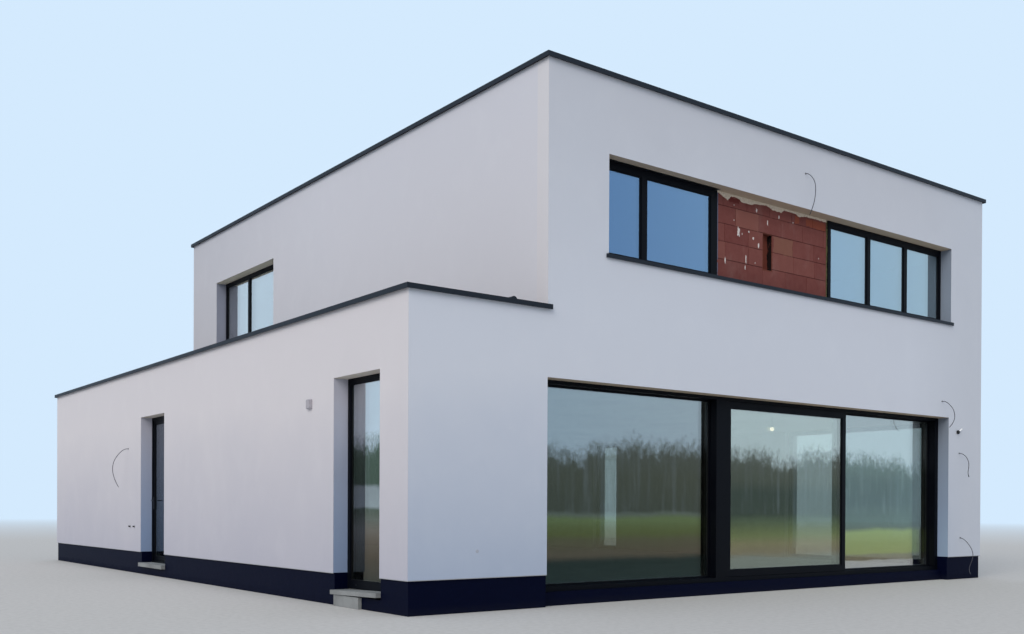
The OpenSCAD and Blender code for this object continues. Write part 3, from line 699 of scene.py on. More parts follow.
@dataclass(frozen=True)
class CoatedMetal(Finish):
    """Folded or extruded metal with a fine dark powder coat and a little dust."""

    base: Colour = tone(5, 7, 14)
    dust: Colour = tone(34, 40, 52)
    dust_share: float = 0.10
    rough: float = 0.42
    gloss: float = 0.08

    def draw(self, g: ShaderGraph) -> None:
        """Draws the coat, its orange peel and dust.

        Args:
            g: The material's nodes.
        """
        patches = g.noise(2.4, 5.0, 0.6)
        fine = g.noise(60.0, 4.0, 0.6)
        dusty = g.ramp(patches * 0.6 + fine * 0.4, 0.45, 0.75) * self.dust_share
        g.dull(g.mix(self.base, self.dust, dusty), self.rough + patches * 0.12 + dusty,
               g.bump(g.noise(900.0, 2.0, 0.5), 0.0003, 0.4), self.gloss)


@dataclass(frozen=True)
class PlinthCoating(Finish):
    """A thick blue-black sealing coat, trowelled on, with dust near the ground."""

    base: Colour = tone(0, 4, 30)
    ridge: Colour = tone(2, 8, 37)
    dust: Colour = tone(46, 48, 56)
    dust_from: Span = (0.15, 0.03)

    def draw(self, g: ShaderGraph) -> None:
        """Draws trowel sweeps and the dust line.

        Args:
            g: The material's nodes.
        """
        _, _, height = g.axes()
        sweeps = g.noise(7.0, 5.0, 0.6, (1.0, 1.0, 1.8), 0.6)
        fine = g.noise(160.0, 3.0, 0.6)
        speckle = g.ramp(g.noise(55.0, 4.0, 0.65), 0.6, 0.78)
        low = g.ramp(height + sweeps * 0.10, *self.dust_from)
        colour = g.mix(self.base, self.ridge, g.ramp(sweeps, 0.45, 0.8) * 0.45)
        dusted = g.mix(colour, self.dust, (low * 0.22 + low * speckle * 0.3).clamped())
        g.dull(dusted, 0.55 + low * 0.3 + fine * 0.1,
               g.bump(fine, 0.0008, 0.5, g.bump(sweeps, 0.006, 0.5)), 0.06)


@dataclass(frozen=True)
class StainAndShade:
    """A stretch of the bare clay with its own tone, in house metres. Most are stains; the dark one
    in the chase of the front leaf is a painted shadow.
    """

    across: Span
    height: Span
    colour: Colour
    share: float = 0.8


FRESH_CLAY = tone(142, 74, 54)


@dataclass(frozen=True)
class ClayBlock(Finish):
    """Fired clay with fine comb lines, each block in its own tone, stained and broken."""

    base: Colour = tone(126, 74, 68)
    pale: Colour = tone(138, 88, 78)
    deep: Colour = tone(110, 58, 54)
    smeared: Colour = tone(172, 146, 138)
    combs: float = 700.0
    stains_and_shade: tuple[StainAndShade, ...] = (
        StainAndShade((4.402, 4.832), (4.935, 5.160), tone(142, 100, 82), 0.55),
        StainAndShade((5.150, 5.610), (5.440, 5.545), FRESH_CLAY),
        StainAndShade((4.885, 4.975), (5.440, 5.545), FRESH_CLAY),
        StainAndShade((3.430, 3.640), (5.500, 5.560), tone(96, 36, 34)),
        StainAndShade((4.150, 4.370), (4.640, 5.180), tone(112, 62, 50)))
    mark_edge: float = 0.008

    def clay(self, g: ShaderGraph) -> tuple[Wire, Wire]:
        """The colour and the bumped normal of bare clay.

        Args:
            g: The material's nodes.

        Returns:
            The colour and the normal.
        """
        kind = g.node("ShaderNodeAttribute", output="Fac", attribute_name="item_tone")
        clouds = g.noise(9.0, 5.0, 0.6)
        grit = g.noise(190.0, 4.0, 0.65)
        smear = g.ramp(g.noise(3.4, 5.0, 0.66, (1.0, 1.0, 0.5)), 0.55, 0.8)
        colour = g.mix(self.deep, self.base,
                       (g.ramp(clouds, 0.3, 0.7) * 0.6 + kind * 0.7).clamped())
        colour = g.mix(colour, self.pale, g.ramp(kind, 0.8, 1.0) * 0.7)
        colour = g.mix(colour, self.smeared, smear * 0.16 + g.ramp(grit, 0.62, 0.8) * 0.14)
        x, _, z = g.axes()
        ragged = (clouds - 0.5) * 0.09
        # Stains, and in the front leaf a painted shadow, laid over the clay.
        for stain in self.stains_and_shade:
            inside = (g.between(x + ragged, *stain.across, self.mark_edge)
                      * g.between(z + ragged, *stain.height, self.mark_edge))
            colour = g.mix(colour, stain.colour, inside * stain.share)
        comb = g.node("ShaderNodeMath", {0: x * self.combs}, operation="SINE")
        return colour, g.bump(comb * 0.3 + grit, 0.0022, 0.7)

    def draw(self, g: ShaderGraph) -> None:
        """Draws bare clay."""
        colour, normal = self.clay(g)
        g.dull(colour, 0.92, normal, 0.2)


@dataclass(frozen=True)
class PlasteredBlock(ClayBlock):
    """The block leaf of the upper front: bare clay outside, smooth plaster inside."""

    outside: float = 0.30
    plaster: Colour = tone(196, 194, 188)
    cloud: Colour = tone(176, 174, 168)

    def draw(self, g: ShaderGraph) -> None:
        """Draws clay in front of a plane and plaster behind it.

        Args:
            g: The material's nodes.
        """
        clay, normal = self.clay(g)
        _, depth, _ = g.axes()
        wall = g.mix(self.plaster, self.cloud, g.ramp(g.noise(2.2, 4.0, 0.6), 0.45, 0.8))
        g.dull(g.mix(clay, wall, depth > self.outside), 0.9, normal, 0.2)


@dataclass(frozen=True)
class InnerPlaster(Finish):
    """Smooth plaster on the inner faces, cloudy where it dries."""

    base: Colour = tone(198, 197, 192)
    damp: Colour = tone(170, 167, 160)

    def draw(self, g: ShaderGraph) -> None:
        """Draws drying clouds and float marks.

        Args:
            g: The material's nodes.
        """
        clouds = g.noise(0.9, 5.0, 0.6)
        floated = g.noise(6.0, 3.0, 0.5, (1.0, 1.0, 0.4))
        colour = g.mix(self.base, self.damp, g.ramp(clouds * 0.7 + floated * 0.3, 0.42, 0.7))
        g.dull(colour, 0.86, g.bump(floated, 0.003, 0.3), 0.25)


@dataclass(frozen=True)
class Concrete(Finish):
    """Cast concrete or screed with pores, stains and slight waves."""

    base: Colour = tone(158, 156, 151)
    stain: Colour = tone(120, 117, 112)
    pore: Colour = tone(84, 82, 80)
    pores: float = 90.0

    def draw(self, g: ShaderGraph) -> None:
        """Draws stains, waves and pores.

        Args:
            g: The material's nodes.
        """
        clouds = g.noise(1.8, 6.0, 0.62)
        grit = g.noise(self.pores, 4.0, 0.65)
        pits = g.ramp(grit, 0.36, 0.24)
        colour = g.mix(self.base, self.stain, g.ramp(clouds, 0.4, 0.72) * 0.8)
        colour = g.mix(colour, self.pore, pits * 0.6)
        waves = g.bump(clouds, 0.006, 0.35)
        g.dull(colour, 0.84 + pits * 0.1, g.bump(grit, 0.002, 0.6, waves), 0.3)


@dataclass(frozen=True)
class Membrane(Finish):
    """A dark roof membrane with dried puddles and dust."""

    base: Colour = tone(66, 69, 74)
    dust: Colour = tone(128, 127, 122)

    def draw(self, g: ShaderGraph) -> None:
        """Draws puddle rims, dust and a slight texture.

        Args:
            g: The material's nodes.
        """
        pools = g.noise(0.7, 5.0, 0.55, warp=0.25)
        rims = g.ramp(pools, 0.46, 0.56) - g.ramp(pools, 0.56, 0.70)
        fine = g.noise(240.0, 2.0, 0.5)
        dusty = (g.ramp(pools, 0.4, 0.8) * 0.20 + rims * 0.05).clamped()
        waves = g.bump(g.noise(2.6, 2.0, 0.5), 0.006, 0.3)
        g.dull(g.mix(self.base, self.dust, dusty + fine * 0.08), 0.62 + dusty * 0.3,
               g.bump(fine, 0.0008, 0.4, waves), 0.35)


@dataclass(frozen=True)
class Glazing(Finish):
    """A coated glazing unit. Both faces mirror what stands before them, the rest passes.

    The mirrored tone is a painted reflection. It has stops up the pane, in metres above
    ground, and stops along the front that they are multiplied by. Beyond a split along the
    front, the stops up the pane are others. Where the edge is uneven, the tone turns to the
    upper one above it, a painted sky, and faint upright streaks of painted reflection stand
    below it.
    """

    # Painted reflection: tones up the pane, the painted sky above the uneven edge, and tones along
    # the front.
    up: Stops = ((0.0, WHITE), (6.0, WHITE))
    upper: Colour = WHITE
    edge: float = 1.95
    edge_soft: float = 0.12
    streaks_from: float = 1.12
    uneven: float = 0.0
    along: Stops = ((0.0, WHITE), (9.0, WHITE))
    tint: Colour = (0.86, 0.89, 0.87, 1.0)
    share: float = 0.34
    split: float | None = None
    beyond: Stops = ()

    def _broken(self, g: ShaderGraph, mirrored: Tint, height: Wire) -> Wire:
        """Adds the upright streaks and the uneven edge to the mirrored tone, both painted
        reflection.

        Args:
            g: The material's nodes.
            mirrored: The tone without them.
            height: The height above ground.

        Returns:
            The tone with them.
        """
        upright = g.noise(13.0, 5.0, 0.65, (1.0, 1.0, 0.07))
        # Faint light upright streaks: painted reflection.
        mirrored = g.mix(mirrored, g.mix(mirrored, WHITE, 0.10),
                         g.ramp(upright, 0.5, 0.7) * (height > self.streaks_from))
        fine = g.noise(13.0, 10.0, 0.82, (1.0, 1.0, 0.7))
        wide = g.noise(1.1, 3.0, 0.5, (1.0, 1.0, 0.0))
        frayed = height + (fine - 0.5) * self.uneven * 1.7 + (wide - 0.5) * self.uneven
        return g.mix(mirrored, self.upper,
                     g.ramp(frayed, self.edge - self.edge_soft, self.edge + self.edge_soft))

    def draw(self, g: ShaderGraph) -> None:
        """Draws the mixture of a mirror in painted reflection tones and passage, with faint
        streaks of dirt.

        Args:
            g: The material's nodes.
        """
        x, _, height = g.axes()
        calm = height + (g.noise(1.4, 5.0, 0.6) - 0.5) * 0.10
        # Painted reflection of the surroundings, by height and by place along the front.
        mirrored = g.stops(calm, self.up)
        if self.split is not None:
            mirrored = g.mix(mirrored, g.stops(calm, self.beyond), x > self.split)
        if self.uneven > 0:
            mirrored = self._broken(g, mirrored, height)
        mirrored = g.mix(mirrored, g.stops(x, self.along), 1.0, "MULTIPLY")
        streaks = g.ramp(g.noise(5.0, 5.0, 0.6, (1.0, 1.0, 0.3)), 0.58, 0.85)
        facing = g.node("ShaderNodeLayerWeight", {"Blend": 0.5}, "Facing")
        share = self.share + (1 - self.share) * facing ** 4.5
        mirror = g.surface(mirrored, 0.02 + streaks * 0.05, Metallic=1.0)
        passed = g.node("ShaderNodeBsdfTransparent", {"Color": self.tint})
        g.finish(g.node("ShaderNodeMixShader", {
            0: (share + streaks * 0.02).clamped(), 1: passed, 2: mirror}))


@dataclass(frozen=True)
class Grainy(Finish):
    """A plain material with grain: rubber, foam, plaster lumps, tape or plastic."""

    base: Colour
    other: Colour
    scale: float
    depth: float = 0.001
    rough: float = 0.9

    def colour(self, g: ShaderGraph, grain: Wire) -> Wire:
        """The colour of this grain."""
        return g.mix(self.base, self.other, g.ramp(grain, 0.35, 0.7))

    def draw(self, g: ShaderGraph) -> None:
        """Draws two tones of grain with its bump.

        Args:
            g: The material's nodes.
        """
        grain = g.noise(self.scale, 5.0, 0.62)
        g.dull(self.colour(g, grain), self.rough + grain * 0.1,
               g.bump(grain, self.depth, 0.8), 0.3)


@dataclass(frozen=True)
class SensorPlastic(Grainy):
    """The sensor's plastic: a dark head on a white arm."""

    head: Point = (9.020, 0.0, 2.514)
    reach: float = 0.034
    arm: Colour = tone(250, 250, 248)

    def colour(self, g: ShaderGraph, grain: Wire) -> Wire:
        """The colour, dark near the head's axis and white elsewhere.

        Args:
            g: The material's nodes.
            grain: The grain's height.

        Returns:
            The colour.
        """
        x, _, z = g.axes()
        away = ((x - self.head[0]) ** 2.0 + (z - self.head[2]) ** 2.0) ** 0.5
        return g.mix(super().colour(g, grain), self.arm, away > self.reach)


@dataclass(frozen=True)
class BrushedSteel(Finish):
    """Steel or aluminium with fine drawn lines."""

    base: Colour = tone(150, 153, 158)
    line: Colour = tone(110, 112, 116)

    def draw(self, g: ShaderGraph) -> None:
        """Draws the lines.

        Args:
            g: The material's nodes.
        """
        lines = g.noise(260.0, 3.0, 0.6, (1.0, 0.06, 0.06))
        colour = g.mix(self.base, self.line, g.ramp(lines, 0.45, 0.75) * 0.4)
        g.finish(g.surface(colour, 0.36 + lines * 0.16, g.bump(lines, 0.0002, 0.4),
                           Metallic=1.0))


@dataclass(frozen=True)
class LitBulb(Finish):
    """Frosted glass that glows a little."""

    base: Colour = tone(250, 238, 214)
    warm: Colour = tone(248, 216, 168)
    glow: float = 2.2

    def draw(self, g: ShaderGraph) -> None:
        """Draws the glow, a little weaker in faint clouds."""
        lit = g.mix(self.base, self.warm, g.noise(30.0, 2.0, 0.5))
        g.finish(g.surface(self.base, 0.4, Emission_Strength=self.glow, Emission_Color=lit))


@dataclass(frozen=True)
class FloorPaint(Finish):
    """The floor's plain tone, which fades into the background far away."""

    base: Colour = tone(206, 204, 201)
    speck: Colour = tone(196, 194, 191)
    background: Colour = tone(212, 234, 254)
    fade: Span = (22.0, 90.0)

    def draw(self, g: ShaderGraph) -> None:
        """Draws the specks and the fade.

        Args:
            g: The material's nodes.
        """
        away = g.vectors("LENGTH", {0: g.place()}, "Value")
        specks = g.ramp(g.noise(14.0, 4.0, 0.6), 0.4, 0.7)
        near = g.surface(g.mix(self.base, self.speck, specks), 0.95)
        far = g.node("ShaderNodeEmission", {"Color": self.background, "Strength": 1.0})
        g.finish(g.node("ShaderNodeMixShader", {
            0: g.ramp(away, *self.fade), 1: near, 2: far}))


# Each side has its own render tones, painted for how light falls on it: lit and shaded copies of
# one white render, the left side warmer and the front cooler and bluer.
LEFT_RENDER = FineRender(
    "left_render", LEFT_WALL, low=tone(186, 186, 198), middle=tone(216, 212, 216),
    high=tone(214, 212, 216), shade=(0.76, 0.79, 0.88, 1.0), foot=(0.56, 0.74, 0.98, 1.0),
    soffit=tone(222, 214, 204))
FRONT_RENDER = FineRender("front_render", flank=LEFT_RENDER, end=tone(206, 210, 219))
LEFT_UPPER_RENDER = FineRender(
    "left_upper_render", LEFT_UPPER_WALL, low=tone(204, 204, 212), middle=tone(214, 212, 218),
    high=tone(208, 208, 216), shade=(0.52, 0.55, 0.64, 1.0), soffit=tone(252, 242, 222),
    fade=0.20)
RIGHT_RENDER = FineRender("right_render", RIGHT_WALL)
BACK_RENDER = FineRender("back_render", BACK_WALL)
BACK_UPPER_RENDER = FineRender("back_upper_render", BACK_UPPER_WALL)
DARK_COAT = CoatedMetal("dark_coat")
CAP_COAT = CoatedMetal("cap_coat", tone(13, 21, 33), tone(78, 84, 94), 0.16, 0.46, 0.26)
BLACK_METAL = CoatedMetal("black_metal", tone(20, 22, 26), dust_share=0.04, rough=0.3,
                          gloss=0.4)
PLINTH_COAT = PlinthCoating("plinth_coat")
BARE_CLAY = ClayBlock("bare_clay")
FRONT_LEAF = PlasteredBlock(
    "front_leaf", base=tone(86, 46, 44), deep=tone(66, 34, 34), stains_and_shade=(
        StainAndShade((4.150, 4.345), (4.640, 5.180), tone(116, 58, 44), 0.85),
        # A near-black strip down the chase's right side: a painted shadow.
        StainAndShade((4.352, 4.400), (4.600, 5.200), tone(20, 12, 12), 0.95)))
ROOM_PLASTER = InnerPlaster("room_plaster")
SCREED = Concrete("screed", tone(150, 149, 145), tone(126, 124, 120))
STEP_CONCRETE = Concrete("step_concrete", tone(146, 149, 150), tone(110, 111, 112))
ROOF_SKIN = Membrane("roof_skin")
LAP_SKIN = Membrane("lap_skin", tone(58, 61, 66), tone(112, 112, 108))
# The mirrored tones of the glazings are painted reflections: sky, tree line, field and ground in
# bands up the pane, and from deep to pale blue along the front.
UPPER_GLASS = Glazing("upper_glass", tint=(0.5, 0.55, 0.6, 1.0), share=0.48, along=(
    (0.9, (0.28, 0.46, 0.72, 1.0)), (3.1, (0.38, 0.58, 0.82, 1.0)),
    (5.6, (0.72, 0.90, 1.0, 1.0)), (8.8, (0.84, 0.98, 1.0, 1.0))))
FIXED_GLASS = Glazing(
    "fixed_glass", upper=tone(236, 238, 234), uneven=0.62, share=0.42, split=5.0,
    up=bands((0.20, 80, 100, 98), (0.50, 82, 98, 92), (0.58, 156, 144, 124),
             (0.78, 152, 148, 114), (0.85, 148, 154, 98), (1.05, 148, 154, 100),
             (1.11, 140, 140, 118), (1.16, 108, 106, 88), (1.60, 116, 112, 92),
             (2.20, 130, 126, 112)),
    beyond=bands((0.28, 255, 255, 255), (0.35, 255, 255, 250), (0.37, 186, 176, 150),
                 (0.44, 190, 184, 150), (0.48, 204, 218, 124), (0.82, 192, 210, 122),
                 (0.90, 92, 108, 88), (1.30, 48, 68, 58), (1.62, 56, 74, 60),
                 (2.20, 120, 130, 114)),
    along=((0.0, (0.72, 0.78, 0.84, 1.0)), (3.2, (0.84, 0.86, 0.88, 1.0)),
           (6.1, (1.0, 1.0, 0.98, 1.0)), (8.7, (1.0, 1.0, 0.98, 1.0))))
SLIDER_GLASS = Glazing(
    "slider_glass", upper=tone(252, 254, 242), uneven=0.62, share=0.40,
    up=bands((0.20, 196, 208, 198), (0.46, 200, 210, 196), (0.56, 202, 192, 160),
             (0.68, 200, 194, 150), (0.80, 172, 182, 124), (0.96, 130, 138, 100),
             (1.12, 92, 98, 82), (1.42, 92, 98, 84), (1.60, 112, 112, 94),
             (2.20, 130, 126, 112)))
SIDE_GLASS = Glazing(
    "side_glass", upper=tone(250, 252, 252), edge=2.0, uneven=0.5, share=0.54,
    up=bands((0.20, 84, 96, 90), (0.60, 130, 120, 104), (0.90, 160, 150, 136),
             (1.16, 104, 110, 88), (1.20, 186, 186, 180), (1.42, 180, 180, 174),
             (1.47, 88, 102, 80), (2.10, 98, 112, 92)))
DOOR_GLASS = Glazing("door_glass", share=0.4, up=bands(
    (0.2, 146, 154, 160), (1.4, 164, 172, 180), (2.6, 186, 194, 204)))
CLEAR_GLASS = Glazing("clear_glass", tint=(0.89, 0.92, 0.90, 1.0), share=0.18, up=bands(
    (0.0, 206, 222, 230), (6.0, 226, 238, 246)))
RUBBER = Grainy("rubber", tone(8, 9, 12), tone(16, 17, 20), 300.0, 0.0004, 0.7)
GREY_PLASTIC = Grainy("grey_plastic", tone(178, 174, 180), tone(164, 160, 168), 80.0, 0.0003,
                      0.5)
BLACK_PLASTIC = Grainy("black_plastic", tone(22, 23, 26), tone(34, 35, 38), 200.0, 0.0003,
                       0.42)
SENSOR = SensorPlastic("sensor_plastic", tone(20, 21, 24), tone(30, 31, 34), 200.0, 0.0003,
                       0.42)
CABLE_GREY = Grainy("cable_grey", tone(76, 77, 86), tone(64, 64, 72), 160.0, 0.0003, 0.5)
CREAM_PLASTER = Grainy("cream_plaster", tone(226, 214, 196), tone(186, 168, 150), 60.0, 0.003)
SPLASHED_PLASTER = Grainy("splashed_plaster", tone(228, 222, 218), tone(196, 180, 174), 90.0,
                          0.002)
FOAM = Grainy("foam", tone(98, 94, 58), tone(44, 42, 30), 34.0, 0.004, 0.8)
TAPE = Grainy("tape", tone(110, 108, 128), tone(86, 84, 104), 90.0, rough=0.5)
PALE_RAIL = Grainy("pale_rail", tone(176, 178, 184), tone(150, 152, 160), 140.0, 0.0005, 0.5)
FILLER = Grainy("filler", tone(186, 190, 202), tone(158, 162, 176), 70.0, 0.002)
SPACER = BrushedSteel("spacer", tone(120, 124, 130))
BAR_METAL = BrushedSteel("bar_metal")
BULB = LitBulb("lit_bulb")
FLOOR = FloorPaint("floor")
ROWS = RowRecipe()
BEAD = BeadRecipe()


# Mesh tools


def placed(name: str, data: bpy.types.ID) -> bpy.types.Object:
    """Makes an object in the scene.

    Args:
        name: Its name.
        data: Its mesh, curve, camera or light.

    Returns:
        The object.
    """
    made = bpy.data.objects.new(name, data)
    bpy.context.scene.collection.objects.link(made)
    return made


def new_piece(name: str, mesh: Mesh, finish: Finish, slot: Slot,
              body: Body = Body.HOUSE) -> bpy.types.Object:
    """Puts a finished mesh in the scene on its body.

    Args:
        name: The piece's name.
        mesh: Its mesh, in the model's frame.
        finish: Its finish, if the mesh has none yet.
        slot: The record's material slot that it belongs to; not used.
        body: The body that carries it.

    Returns:
        The piece.
    """
    if not mesh.materials:
        mesh.materials.append(finish.material())
    made = placed(name, mesh)
    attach(made, body.value)
    LOG.info("piece %s: %d faces on %s", name, len(mesh.polygons), body.value)
    return made


def dress(finish: Finish, *nodes: str) -> None:
    """Gives CAD nodes a finish, on their own material slots.

    Args:
        finish: The finish.
        nodes: The nodes' names.
    """
    for node in nodes:
        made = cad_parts[node]
        if not made.material_slots:
            made.data.materials.append(finish.material())
        for place in made.material_slots:
            place.material = finish.material()
        LOG.info("node %s: %s", node, finish.name)


def to_mesh(name: str, work: Work) -> Mesh:
    """Turns built geometry into a mesh and frees it.

    Args:
        name: The mesh's name.
        work: The geometry.

    Returns:
        The mesh.
    """
    mesh = bpy.data.meshes.new(name)
    work.to_mesh(mesh)
    work.free()
    return mesh


def joined(name: str, meshes: Iterable[Mesh]) -> Mesh:
    """Joins meshes into one and removes them.

    Args:
        name: The new mesh's name.
        meshes: The meshes.

    Returns:
        The new mesh.
    """
    work = bmesh.new()
    for mesh in meshes:
        work.from_mesh(mesh)
        bpy.data.meshes.remove(mesh)
    return to_mesh(name, work)


def cut(mesh: Mesh, low: Vector, high: Vector) -> Mesh:
    """Copies what a box across the front and up holds of closed solids.

    Args:
        mesh: The solids.
        low: The box's lowest corner.
        high: Its highest corner.

    Returns:
        The part, closed at its cuts.
    """
    work = bmesh.new()
    work.from_mesh(mesh)
    for axis in (0, 2):
        for place, sign in ((low, -1.0), (high, 1.0)):
            normal = Vector((0.0, 0.0, 0.0))
            normal[axis] = sign
            bmesh.ops.bisect_plane(work, geom=[*work.verts, *work.edges, *work.faces],
                                   plane_co=place, plane_no=normal, clear_outer=True)
            bmesh.ops.holes_fill(work, edges=[e for e in work.edges if e.is_boundary], sides=0)
    bmesh.ops.recalc_face_normals(work, faces=work.faces)
    return to_mesh("part", work)


def along_wall(wall: Wall, along: Span, depth: float, z: float, spacing: float) -> Row:
    """A row between two places of a wall.

    Args:
        wall: The wall.
        along: The two places, where the first and last item stand.
        depth: Their depth.
        z: Their height.
        spacing: The wished spacing.

    Returns:
        The row.
    """
    gaps = max(1, round((along[1] - along[0]) / spacing))
    first, last = (wall.spot(place, depth, z) for place in along)
    return Row(first, (last - first) / gaps, gaps + 1)


def rows_mesh(name: str, finish: Finish, shape: Mesh, rows: Iterable[Row],
              loose: float = 0.0) -> Mesh:
    """Runs the row recipe for several rows of one shape and joins them.

    Args:
        name: Name of the mesh.
        finish: Its finish.
        shape: The item, around the origin.
        rows: The rows.
        loose: How far an item may stand from its place.

    Returns:
        The joined mesh.
    """
    item = placed(name + "_item", shape)
    whole = joined(name, (ROWS.row(name, finish, item, row, loose, seed)
                          for seed, row in enumerate(rows, 1)))
    bpy.data.objects.remove(item)
    whole.materials.append(finish.material())
    return whole


@dataclass
class Assembly:
    """A sub-assembly, with the tools that its builders add geometry to a mesh with."""

    work: Work = field(init=False, repr=False)

    def mesh(self, name: str, build: Builder, smooth: bool = False) -> Mesh:
        """Runs a builder on an empty mesh, with its normals turned outwards.

        Args:
            name: The mesh's name.
            build: Adds the geometry.
            smooth: Whether its faces are shaded smooth.

        Returns:
            The mesh.
        """
        self.work = bmesh.new()
        build()
        bmesh.ops.recalc_face_normals(self.work, faces=self.work.faces)
        for face in self.work.faces:
            face.smooth = smooth
        return to_mesh(name, self.work)

    def add(self, name: str, build: Builder, finish: Finish, slot: Slot,
            body: Body = Body.HOUSE, smooth: bool = False) -> bpy.types.Object:
        """Makes a piece from a builder."""
        return new_piece(name, self.mesh(name, build, smooth), finish, slot, body)

    def box(self, first: Vector, second: Vector) -> None:
        """Adds a box between two opposite corners."""
        middle, size = (first + second) / 2, Matrix.Diagonal((*map(abs, second - first), 1.0))
        bmesh.ops.create_cube(self.work, size=1.0, matrix=Matrix.Translation(middle) @ size)

    def wall_box(self, wall: Wall, along: Span, depth: Span, height: Span) -> None:
        """Adds a box on a wall between two places along it, two depths and two heights."""
        self.box(*(wall.spot(*place) for place in zip(along, depth, height)))

    def lump(self, centre: Vector, radii: Point) -> Sequence[bmesh.types.BMVert]:
        """Adds an ellipsoid.

        Args:
            centre: Its centre.
            radii: Its half length along each axis.

        Returns:
            Its vertices.
        """
        place = Matrix.Translation(centre) @ Matrix.Diagonal((*radii, 1.0))
        return bmesh.ops.create_icosphere(self.work, subdivisions=3, radius=1.0,
                                          matrix=place)["verts"]

    def rod(self, start: Vector, end: Vector, radius: float, sides: int = 20,
            end_radius: float | None = None) -> None:
        """Adds a closed rod or cone.

        Args:
            start: The middle of its first end.
            end: The middle of the other end.
            radius: Its radius at the first end.
            sides: The sides of its cross-section.
            end_radius: Its radius at the other end, if that is another one.
        """
        way = end - start
        turn = way.to_track_quat("Z", "Y").to_matrix().to_4x4()
        bmesh.ops.create_cone(
            self.work, cap_ends=True, segments=sides, radius1=radius,
            radius2=radius if end_radius is None else end_radius, depth=way.length,
            matrix=Matrix.Translation((start + end) / 2) @ turn)

    def wall_rod(self, wall: Wall, start: Point, end: Point, *shape: float) -> None:
        """Adds a rod between two spots of a wall, with a radius, sides and end radius."""
        self.rod(wall.spot(*start), wall.spot(*end), *shape)

    def bridge(self, one: Sequence, other: Sequence) -> None:
        """Adds the faces between two closed loops of as many vertices."""
        for corners in zip(one, [*one[1:], one[0]], [*other[1:], other[0]], other):
            self.work.faces.new(corners)

    def loft(self, outlines: Iterable[Sequence[Vector]]) -> None:
        """Adds a closed solid through a row of outlines.

        Args:
            outlines: The outlines, with as many points each.
        """
        loops = [[self.work.verts.new(point) for point in outline] for outline in outlines]
        for one, other in zip(loops, loops[1:]):
            self.bridge(one, other)
        self.work.faces.new(loops[0])
        self.work.faces.new(loops[-1][::-1])

    def prism(self, outline: Sequence[Vector], way: Vector) -> None:
        """Adds a closed prism: an outline and the way that it is drawn along."""
        self.loft((outline, [point + way for point in outline]))

    def ring(self, pane: Pane, inset: Span, depth: Span) -> None:
        """Adds a mitred rectangular ring just inside a pane's edge.

        Args:
            pane: The pane.
            inset: From the pane's edge to the ring's outer and inner edge.
            depth: Its front and back behind the wall's face.
        """
        loops = []
        for away in inset:
            left, right = pane.start + away, pane.end - away
            low, high = pane.bottom + away, pane.top - away
            corners = ((left, low), (right, low), (right, high), (left, high))
            loops += [[self.work.verts.new(pane.wall.spot(along, deep, z)) for along, z in corners]
                      for deep in depth]
        outer_front, outer_back, inner_front, inner_back = loops
        turn = (outer_front, inner_front, inner_back, outer_back, outer_front)
        for one, other in zip(turn, turn[1:]):
            self.bridge(one, other)


# Panes and windows


@dataclass(frozen=True)
class Opening:
    """A rectangle in a wall: two places along it, a bottom and a top."""

    wall: Wall
    start: float
    end: float
    bottom: float
    top: float


@dataclass(frozen=True)
class Pane(Opening):
    """The seen part of a glass pane, with the depth of its outer face."""

    glass: float
    body: Body = Body.HOUSE


@dataclass(frozen=True)
class Window(Opening):
    """A window frame in its opening, with bars between its panes."""

    bars: tuple[Span, ...] = ()
    foot: float = 0.075
    head: float = 0.075
    stile: float = 0.075
    last: float = 0.075
    rebate: float = 0.024

    def panes(self) -> list[Pane]:
        """Its panes.

        Returns:
            The panes, in order along the wall.
        """
        edges = [self.start + self.stile]
        for bar in self.bars:
            edges += [self.start + side for side in bar]
        edges.append(self.end - self.last)
        return [Pane(self.wall, a, b, self.bottom + self.foot, self.top - self.head,
                     REVEAL + self.rebate)
                for a, b in zip(edges[::2], edges[1::2])]


LEFT_WINDOW = Window(FRONT_WALL, 0.975, 3.178, SILL_Z, UPPER_LINTEL, ((0.740, 0.859),),
                     head=0.105, last=0.140)
FRONT_WINDOWS = (LEFT_WINDOW, Window(FRONT_WALL, 5.678, 8.805, SILL_Z, UPPER_LINTEL,
                                     ((1.001, 1.102), (2.021, 2.127)), head=0.105))
SIDE_WINDOWS = (
    Window(LEFT_WALL, 0.608, 1.720, FLOOR_Z, GROUND_LINTEL, foot=0.103),
    Window(LEFT_UPPER_WALL, 7.752, 10.412, SILL_Z, UPPER_LINTEL, ((1.493, 1.587),)))
OTHER_WINDOWS = (
    Window(RIGHT_WALL, 0.900, 3.930, FLOOR_Z, GROUND_LINTEL),
    Window(RIGHT_WALL, 8.935, 9.775, FLOOR_Z, GROUND_LINTEL),
    Window(RIGHT_WALL, 7.752, 10.412, SILL_Z, UPPER_LINTEL, ((1.073, 1.167),)),
    Window(BACK_WALL, 2.590, 5.250, FLOOR_Z, GROUND_LINTEL, ((1.280, 1.380),)),
    Window(BACK_UPPER_WALL, 3.560, 6.220, SILL_Z, UPPER_LINTEL, ((1.280, 1.380),)))
FIXED_PANES = tuple(Pane(FRONT_WALL, *ends, 0.245, 2.685, 0.339)
                    for ends in ((0.110, 3.166), (6.167, 8.644)))
LEAF_PANE = Pane(FRONT_WALL, 3.503, 6.067, 0.330, 2.600, 0.225, Body.SLIDING_LEAF)
DOOR_PANE = Pane(LEFT_WALL, 7.877, 8.835, 0.315, 2.628, 0.225, Body.SIDE_DOOR)


# Camera and surroundings


